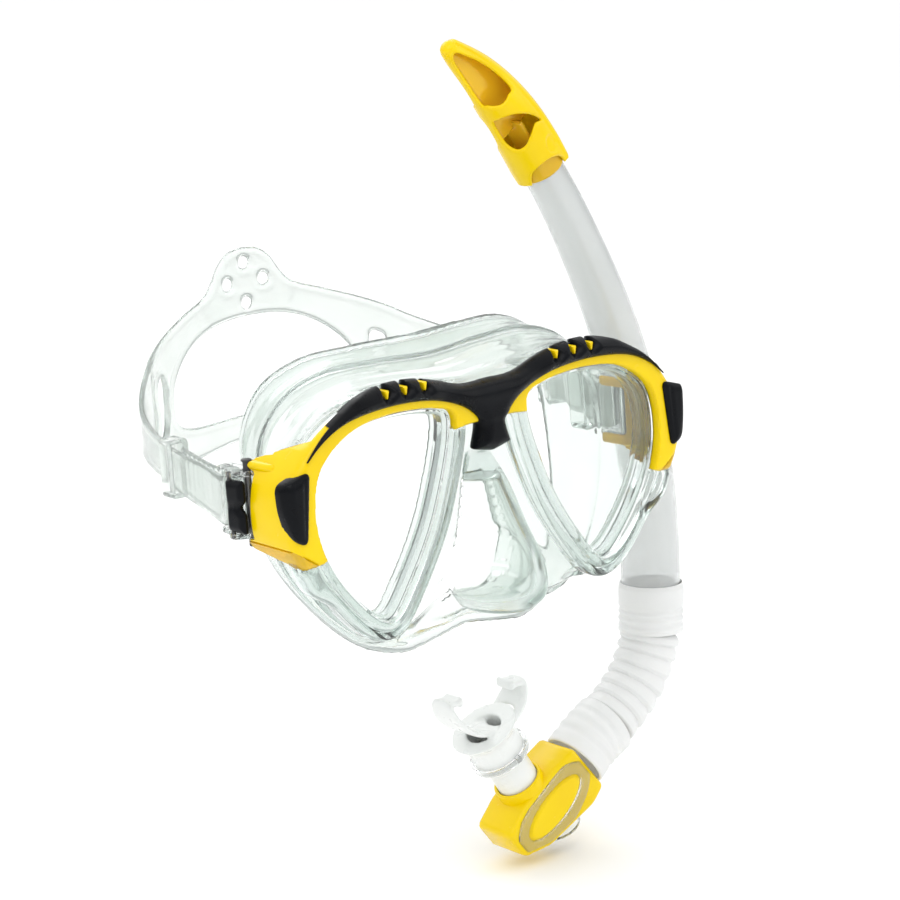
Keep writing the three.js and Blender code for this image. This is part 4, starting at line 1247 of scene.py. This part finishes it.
def make_keeper():
    piece("keeper_strap_clip", strap_clip(), "silicone", "silicone", "strap_clip")
    piece("keeper_pin", keeper_pin(), "clear", "clear_plastic", "strap_clip")
    piece("keeper_tube_ring", tube_ring(), "silicone", "silicone", "tube_ring")


# ---- snorkel ----
def snorkel_tube():
    """A tapering clear tube, slightly oval, with one soft lengthwise ridge."""
    def crease(angles):
        beside = np.angle(np.exp(1j * (angles + 2.0)))
        return 1 + 0.012 * np.exp(-(beside / 0.16) ** 2) - 0.006 * np.cos(2 * angles)

    profile = wall_profile(tube_radius, lambda t: tube_radius(t) - TUBE_WALL, 90, lip=0.004)
    return swept(TUBE_PATH, profile, wrap=True, sides=96, ridge=crease)


def guard_radius(t):
    """Radius of the hood along its path: widest near its mouth and small at its tip."""
    return 10.6 + 0.6 * np.sin(math.pi * t) - 1.4 * t - 6 * t ** 3


def path_length(path):
    return float(np.linalg.norm(np.diff(spline(path, np.linspace(0, 1, 400)), axis=0), axis=1).sum())


GUARD_LENGTH = path_length(GUARD_PATH)


def on_guard(along, around, height):
    """A point of the guard: along its path in mm, around in degrees from its outer side, height out."""
    t = along / GUARD_LENGTH
    centre = spline(GUARD_PATH, t)
    ahead = unit(spline(GUARD_PATH, np.minimum(t + 2e-3, 1)) - spline(GUARD_PATH, np.maximum(t - 2e-3, 0)))
    angle = np.radians(around)
    radius = guard_radius(t) + height
    cross = radius * np.cos(angle)
    return np.stack([centre[:, 0] + ahead[:, 1] * cross, TUBE_Y - radius * np.sin(angle),
                     centre[:, 1] - ahead[:, 0] * cross], axis=1)


GUARD_WINDOWS = [  # along in mm, around in degrees
    [[42.5, 62], [40.5, 90], [40, 120], [42, 150], [44, 167], [52, 167], [59, 156], [63, 120], [60.5, 82],
     [51, 60]],
    [[24.5, 56], [26, 80], [24, 105], [21.5, 130], [22, 152], [27, 168], [34, 167], [35.8, 145], [34.5, 110],
     [30, 78]],
    [[-4, 54], [3, 60], [9, 88], [9.5, 122], [5, 150], [-4, 162]]]
GUARD_DIMPLE = (14.5, 60.0)  # place of a shallow oval dimple
SPINE_EDGE = 52.0


def guard_relief(along, around):
    """Height of the hood's outer face: a raised spine, and one oval dimple on each side."""
    angle = np.abs((around + 180) % 360 - 180)
    spine = 0.75 * (1 - ramp(angle, SPINE_EDGE - 5, SPINE_EDGE + 5))
    oval = ((along - GUARD_DIMPLE[0]) / 4.6) ** 2 + ((angle - GUARD_DIMPLE[1] - 14) / 17) ** 2
    return spine - 0.55 * (1 - ramp(oval, 0.75, 1.05))


def top_guard():
    """A hood over the tube's end: its spine is closed and its sides have openings."""
    rows, columns = 130, 180
    along, around = np.meshgrid(np.linspace(0, GUARD_LENGTH, rows), np.arange(columns) * 360 / columns,
                                indexing="ij")
    holes = []
    for window in GUARD_WINDOWS:
        holes.append(smooth(window, 70))
        holes.append(smooth([[a, 360 - b] for a, b in window], 70))
    scale = np.array([1.0, math.radians(1) * 9.5])
    points = np.stack([along, around], axis=-1)
    scaled = points.reshape(-1, 2) * scale
    in_holes = np.max([depth_inside(scaled, [hole * scale]) for hole in holes], axis=0)
    depth = -in_holes.reshape(rows, columns)

    def side(level, relief):
        def height(place, inside):
            ends = np.minimum(inside, np.minimum(place[:, 0], GUARD_LENGTH - place[:, 0]))
            edge = np.sqrt(np.maximum(dome(ends, 0.8), 0.06))
            return level * edge - GUARD_WALL / 2 + relief * guard_relief(place[:, 0], place[:, 1]) * edge
        return height

    half = GUARD_WALL / 2
    return thickened(*cut_grid(points, depth, wrap=True), side(half, 1), side(-half, 0), on_guard)


def guard_shade_web():
    """An amber wall down the middle of the hood: painted shade, which stands in for the shaded inside of the
    hood that shows through its windows.
    """
    along = np.linspace(26, 0.955 * GUARD_LENGTH, 30)
    reach = np.full(30, -GUARD_WALL - 0.15)
    outer = on_guard(along, np.zeros(30), reach)[:, [0, 2]]
    inner = on_guard(along, np.full(30, 180.0), reach)[:, [0, 2]]
    outline = anticlockwise(np.vstack([outer, inner[::-1]]))
    return round_plate(even(outline, 200, True), [], 0.5, TUBE_Y - 0.7, TUBE_Y + 0.7, 0.4, facing)


def guard_tip():
    """The rounded end that closes the hood."""
    t = np.linspace(0, math.pi / 2, 10)
    end, before = spline(GUARD_PATH, 1.0)[0], spline(GUARD_PATH, 0.995)[0]
    axis = np.array([end[0] - before[0], 0, end[1] - before[1]])
    radius = float(guard_radius(1.0))
    start = np.array([end[0], TUBE_Y, end[1]]) - axis / np.linalg.norm(axis) * 0.8
    profile = [(2.4 * math.sin(a), max(radius * math.cos(a), 0.05)) for a in t]
    return turned(start, axis, [(0, radius - GUARD_WALL)] + profile)


def collar_radius(t):
    return guard_radius(t) - GUARD_WALL - 0.1


def guard_collar():
    """An amber collar inside the hood's mouth, over the end of the tube."""
    profile = wall_profile(collar_radius, lambda t: TUBE_TOP_R + 0.5, 24, 0.0, 0.2, 0.01)
    return swept(GUARD_PATH, profile, wrap=True)


def splash_deflector():
    """A slanted blade inside the hood that keeps splashes out of the tube."""
    blade = rounded_corners([[69, 103.4], [59.5, 117.6], [58.2, 116.7], [67.7, 102.5]], 0.6)
    return round_plate(blade, [], 0.3, TUBE_Y - 6, TUBE_Y + 6, 0.4, facing)


def cuff_rings(t, depth, start, pitch, ends):
    """Rounded grooves round a cuff, which fade in and out between the four ends."""
    waves = depth * (np.cos((t - start) * 2 * math.pi / pitch) - 1)
    return waves * ramp(t, *ends[:2]) * (1 - ramp(t, *ends[2:]))


def upper_cuff():
    def outer(t):
        rings = cuff_rings(t, 0.35, 0.52, 0.13, (0.5, 0.54, 0.92, 0.96))
        return CUFF_R + rings - 0.7 * (1 - ramp(t, 0, 0.12))

    profile = wall_profile(outer, lambda t: TUBE_BOTTOM_R + GAP, 90, lip=0.02)
    return swept(UPPER_CUFF_PATH, profile, wrap=True)


def flex_hose(rings=7):
    """A bent hose of stepped rings, each like a shallow cup that opens downwards."""
    def outer(t):
        phase = (t * rings) % 1
        swell = ramp(phase, 0.0, 0.45) * (1 - ramp(phase, 0.8, 1.0))
        return HOSE_R - HOSE_STEP * (1 - swell) + 0.3 * phase

    profile = wall_profile(outer, lambda t: outer(t) - HOSE_WALL, 200, lip=0.01)
    return swept(HOSE_PATH, profile, wrap=True, sides=80)


def lower_cuff():
    def outer(t):
        return CUFF_R + cuff_rings(t, 0.3, 0.2, 0.2, (0.18, 0.24, 0.76, 0.82))

    return swept(LOWER_CUFF_PATH, wall_profile(outer, lambda t: CUFF_R - HOSE_WALL, 70, lip=0.03), wrap=True)


def make_snorkel():
    piece("snorkel_tube", snorkel_tube(), "tube", "clear_plastic", "barrel", 60)
    piece("top_guard", joined(top_guard(), guard_tip()), "yellow", "yellow_plastic", "barrel", 50)
    piece("splash_deflector", splash_deflector(), "amber", "amber_plastic", "barrel")
    piece("guard_collar", guard_collar(), "amber", "amber_plastic", "barrel", in_cad=False)
    # The amber wall in the hood is painted shade: it stands in for the shaded inside of the hood seen through
    # its windows.
    piece("guard_shade_web", guard_shade_web(), "amber", "amber_plastic", "barrel", in_cad=False)
    piece("upper_cuff", upper_cuff(), "frosted", "frosted_silicone", "barrel", 60)
    hose = piece("flex_hose", flex_hose(), "frosted", "frosted_silicone", None, 60)
    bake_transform(hose)
    piece("lower_cuff", lower_cuff(), "frosted", "frosted_silicone", "mouth_unit", 60)


# ---- mouth unit ----
def pad_oval(points):
    """Distance measure from the middle of the housing's oval pad: 1 on its edge."""
    apart = points - PAD_CENTRE
    return np.hypot(apart @ PAD_AXIS / PAD_HALF_LENGTH, apart @ PAD_ACROSS / PAD_HALF_WIDTH)


def oval_loop(grow):
    angles = angles_round(120)
    return (PAD_CENTRE + np.outer((PAD_HALF_LENGTH + grow) * np.cos(angles), PAD_AXIS)
            + np.outer((PAD_HALF_WIDTH + grow) * np.sin(angles), PAD_ACROSS))


def mouth_housing():
    """A flat-sided housing with an oval pad on both faces and a round neck for the spigot."""
    outline = rounded_corners(HOUSING_POINTS, 2.4, 8)

    def face(sign):
        def height(points, depth):
            pad = 1 - ramp(pad_oval(points), 0.92, 1.0)
            return TUBE_Y + sign * (HOUSING_HALF - 0.5 - fillet(depth, 1.6) + pad * ramp(depth, 0.5, 2))
        return height

    body = plate(outline, [], 0.5, face(-1), face(1), facing)
    neck = turned(SPIGOT_BASE - 3 * SPIGOT_AXIS, SPIGOT_AXIS,
                  sleeve_profile(8, SPIGOT_R + 1.6, SPIGOT_R + GAP, 0.6), wrap=True)
    return joined(body, neck)


def housing_band():
    """A soft clear band moulded round the oval pad on both faces."""
    inside_housing = rounded_corners(HOUSING_POINTS, 2.4, 8)
    level = HOUSING_HALF - 0.45

    def within(points):
        return depth_inside(points, [inside_housing]) - 1.8

    bands = []
    for sign in (-1, 1):
        def crown(points, depth):
            return TUBE_Y + sign * (level + 1.1 * np.sqrt(np.clip(1 - (1 - depth / 2.8) ** 2, 0.02, 1)))
        base = flat(TUBE_Y + sign * level)
        bands.append(plate(oval_loop(5.6), [oval_loop(0.25)], 0.4, crown, base, facing, within))
    return joined(*bands)


def purge_cover():
    """A low clear cap over the purge valve."""
    profile = [(GAP, 8.6), (3.2, 8.6), (4.0, 8.2), (4.5, 7.2), (4.6, 5.6), (4.6, 2.4), (3.8, 2.2), (3.4, 2.6),
               (3.4, 6.4), (3.0, 7.0), (GAP, 7.0)]
    return turned(VALVE_CENTRE, VALVE_AXIS, profile, wrap=True)


def purge_valve():
    profile = [(GAP, 1.2), (GAP, 5.6), (0.7, 5.8), (1.1, 5.5), (1.1, 2.0), (2.0, 1.4), (2.0, 0.4)]
    return turned(VALVE_CENTRE, VALVE_AXIS, profile)


def spigot():
    """The socket that the mouthpiece turns on, with fine ridges along it."""
    length = np.linalg.norm(SPIGOT_END - SPIGOT_BASE)
    axis, side, other = basis(SPIGOT_AXIS)
    start = SPIGOT_BASE + (1 + GAP) * axis
    angles = angles_round(144)
    ridges = 0.22 * np.cos(12 * angles)
    circle_points = np.cos(angles)[:, None] * side + np.sin(angles)[:, None] * other
    loops = []
    for along, radius in sleeve_profile(length - 1 - GAP, SPIGOT_R, SPIGOT_R - 1.5, 0.5):
        outside = ramp(radius, SPIGOT_R - 0.4, SPIGOT_R) * ramp(min(along, length - along), 1, 3)
        loops.append(start + axis * along + circle_points * (radius + (ridges - 0.22) * outside)[:, None])
    return loft(loops, wrap=True)


def both_edges(along, half_widths):
    """An outline from its half widths at places along its middle line."""
    below = [[a, -half] for a, half in zip(along, half_widths)]
    return below + [[a, -half] for a, half in reversed(below)]


def mouthpiece():
    """A curved flange that lies inside the lips, two bite tabs, and a sleeve over the spigot."""
    angles = np.radians([186, 354])
    reach = FLANGE_R - FLANGE_WALL / 2
    length = reach * (angles[1] - angles[0])
    horn = FLANGE_HALF * 0.62
    waist = FLANGE_HALF - 1.6
    edge = both_edges(length * np.array([0, 0.16, 0.4, 0.5, 0.6, 0.84, 1]),
                      [horn, FLANGE_HALF, FLANGE_HALF, waist, FLANGE_HALF, FLANGE_HALF, horn])
    mouth_angle = math.atan2(-SPIGOT_AXIS[2], -SPIGOT_AXIS[0]) % (2 * math.pi)
    airway = [reach * (mouth_angle - angles[0]), 0]

    def on_flange(along, across, height):
        angle = angles[0] + along / reach
        radius = reach + height
        return np.stack([FLANGE_CENTRE[0] + radius * np.cos(angle), TUBE_Y + across,
                         FLANGE_CENTRE[2] + radius * np.sin(angle)], axis=1)

    def side(sign):
        def height(points, depth):
            round_edge = np.sqrt(np.maximum(dome(depth, 1.4), 0.1))
            return sign * FLANGE_SKIN / 2 * round_edge
        return height

    flange = plate(rounded_corners(edge, 3.5), [circle(airway, SPIGOT_R - 2.4)], 0.6, side(1), side(-1),
                   on_flange)
    start = SPIGOT_END - 7 * SPIGOT_AXIS
    neck = turned(start, SPIGOT_AXIS, sleeve_profile(15.5, SLEEVE_R, SPIGOT_R + GAP, 0.7), wrap=True)
    flare = turned(SPIGOT_END + 3 * SPIGOT_AXIS, SPIGOT_AXIS, [
        (0, SLEEVE_R - 0.4), (3.0, SLEEVE_R + 0.6), (6.5, SLEEVE_R + 3.4), (6.5, SPIGOT_R - 1.0),
        (0, SPIGOT_R - 1.5)], wrap=True)
    middle, _, level = FLANGE_CENTRE
    tabs = []
    for sign in (-1, 1):
        inner, outer = sorted((middle + sign * (reach - 6.6), middle + sign * (reach + 0.4)))
        outline = rectangle((inner, level - 4.9), (outer, level - 2.7), 0.9)
        tabs.append(round_plate(outline, [], 0.35, TUBE_Y - 5, TUBE_Y + 5, 0.8, facing))
        knob_x = middle + sign * (reach - 6.2)
        knob = rectangle((knob_x - 1.0, level - 5.6), (knob_x + 1.0, level - 1.8), 0.9)
        tabs.append(round_plate(knob, [], 0.35, TUBE_Y - 5, TUBE_Y + 5, 0.9, facing))
    return melted(joined(flange, neck, flare, *tabs), voxel=0.5, passes=10)


def tie_band():
    """A thin band round the mouthpiece's sleeve, with a small lock on its front."""
    profile = sleeve_profile(2.8, SLEEVE_R + 1.5, SLEEVE_R + GAP, 0.4)
    band = turned(SPIGOT_END - 5.4 * SPIGOT_AXIS, SPIGOT_AXIS, profile, wrap=True, sides=64)
    lock_place = SPIGOT_END - [0, SLEEVE_R + 0.9, 0]
    return joined(band, rod(lock_place - 5.2 * SPIGOT_AXIS, lock_place - 2.8 * SPIGOT_AXIS, 1.1))


def make_mouth_unit():
    piece("mouth_housing", mouth_housing(), "yellow", "yellow_plastic", "mouth_unit")
    piece("housing_band", housing_band(), "clear", "silicone", "mouth_unit", in_cad=False)
    piece("purge_cover", purge_cover(), "clear", "clear_plastic", "mouth_unit")
    piece("spigot", spigot(), "pale", "clear_plastic", "mouth_unit")
    piece("purge_valve", purge_valve(), "silicone", "silicone", "valve")
    piece("mouthpiece", mouthpiece(), "pale", "silicone", "bite", 60)
    piece("mouthpiece_band", tie_band(), "clear", "clear_plastic", "bite")


# ---- studio ----
FLOOR_Z = -0.166  # metres
LIGHTS = [  # name, place, size, power
    ("key", (-0.7, -0.6, 1.1), (0.9, 0.9), 4), ("fill", (0.9, -0.9, 0.6), (0.7, 1.0), 2),
    ("rim", (0.2, 1.1, 0.9), (1.2, 0.5), 3)]


def add_floor():
    material = surface("pale_floor", (0.96, 0.96, 0.96), (0.95, 0.952, 0.952), (0.7, 0.8), (0.02, 0.0001), 30,
                       Specular_IOR_Level=0.0)
    bpy.ops.mesh.primitive_circle_add(vertices=96, radius=9, fill_type="NGON", location=(0, 0, FLOOR_Z))
    floor = bpy.context.object
    floor.name = "floor"
    floor.data.materials.append(material)


def add_world():
    """A soft sky: bright overhead, and a little darker low at the sides so that clear edges show."""
    world = bpy.data.worlds.new("studio")
    world.use_nodes = True
    tree = world.node_tree
    background = tree.nodes["Background"]
    place = tree.nodes.new("ShaderNodeTexCoord")
    split = tree.nodes.new("ShaderNodeSeparateXYZ")
    shades = tree.nodes.new("ShaderNodeValToRGB")
    shades.color_ramp.elements[0].position = 0.0
    shades.color_ramp.elements[0].color = (0.42, 0.44, 0.44, 1)
    shades.color_ramp.elements[1].position = 0.45
    shades.color_ramp.elements[1].color = (1.0, 1.0, 1.0, 1)
    tree.links.new(place.outputs["Generated"], split.inputs["Vector"])
    tree.links.new(split.outputs["Z"], shades.inputs["Fac"])
    tree.links.new(shades.outputs["Color"], background.inputs["Color"])
    background.inputs["Strength"].default_value = 1.1
    bpy.context.scene.world = world


def add_light(name, place, size, power):
    """An area light that points at the origin."""
    data = bpy.data.lights.new(name, "AREA")
    data.shape = "RECTANGLE"
    data.size, data.size_y = size
    data.energy = power
    light = bpy.data.objects.new(name, data)
    axis, side, other = basis(np.array(place))
    matrix = np.eye(4)
    matrix[:3] = np.column_stack([side, np.cross(axis, side), axis, place])
    light.matrix_world = Matrix(matrix.tolist())
    bpy.context.collection.objects.link(light)


def add_studio():
    add_floor()
    add_world()
    for light in LIGHTS:
        add_light(*light)
    scene = bpy.context.scene
    scene.view_settings.view_transform = "Standard"
    scene.cycles.max_bounces = 24
    scene.cycles.transmission_bounces = 24


make_mask_front()
make_soft_mask()
make_buckles()
make_keeper()
make_snorkel()
make_mouth_unit()
add_studio()
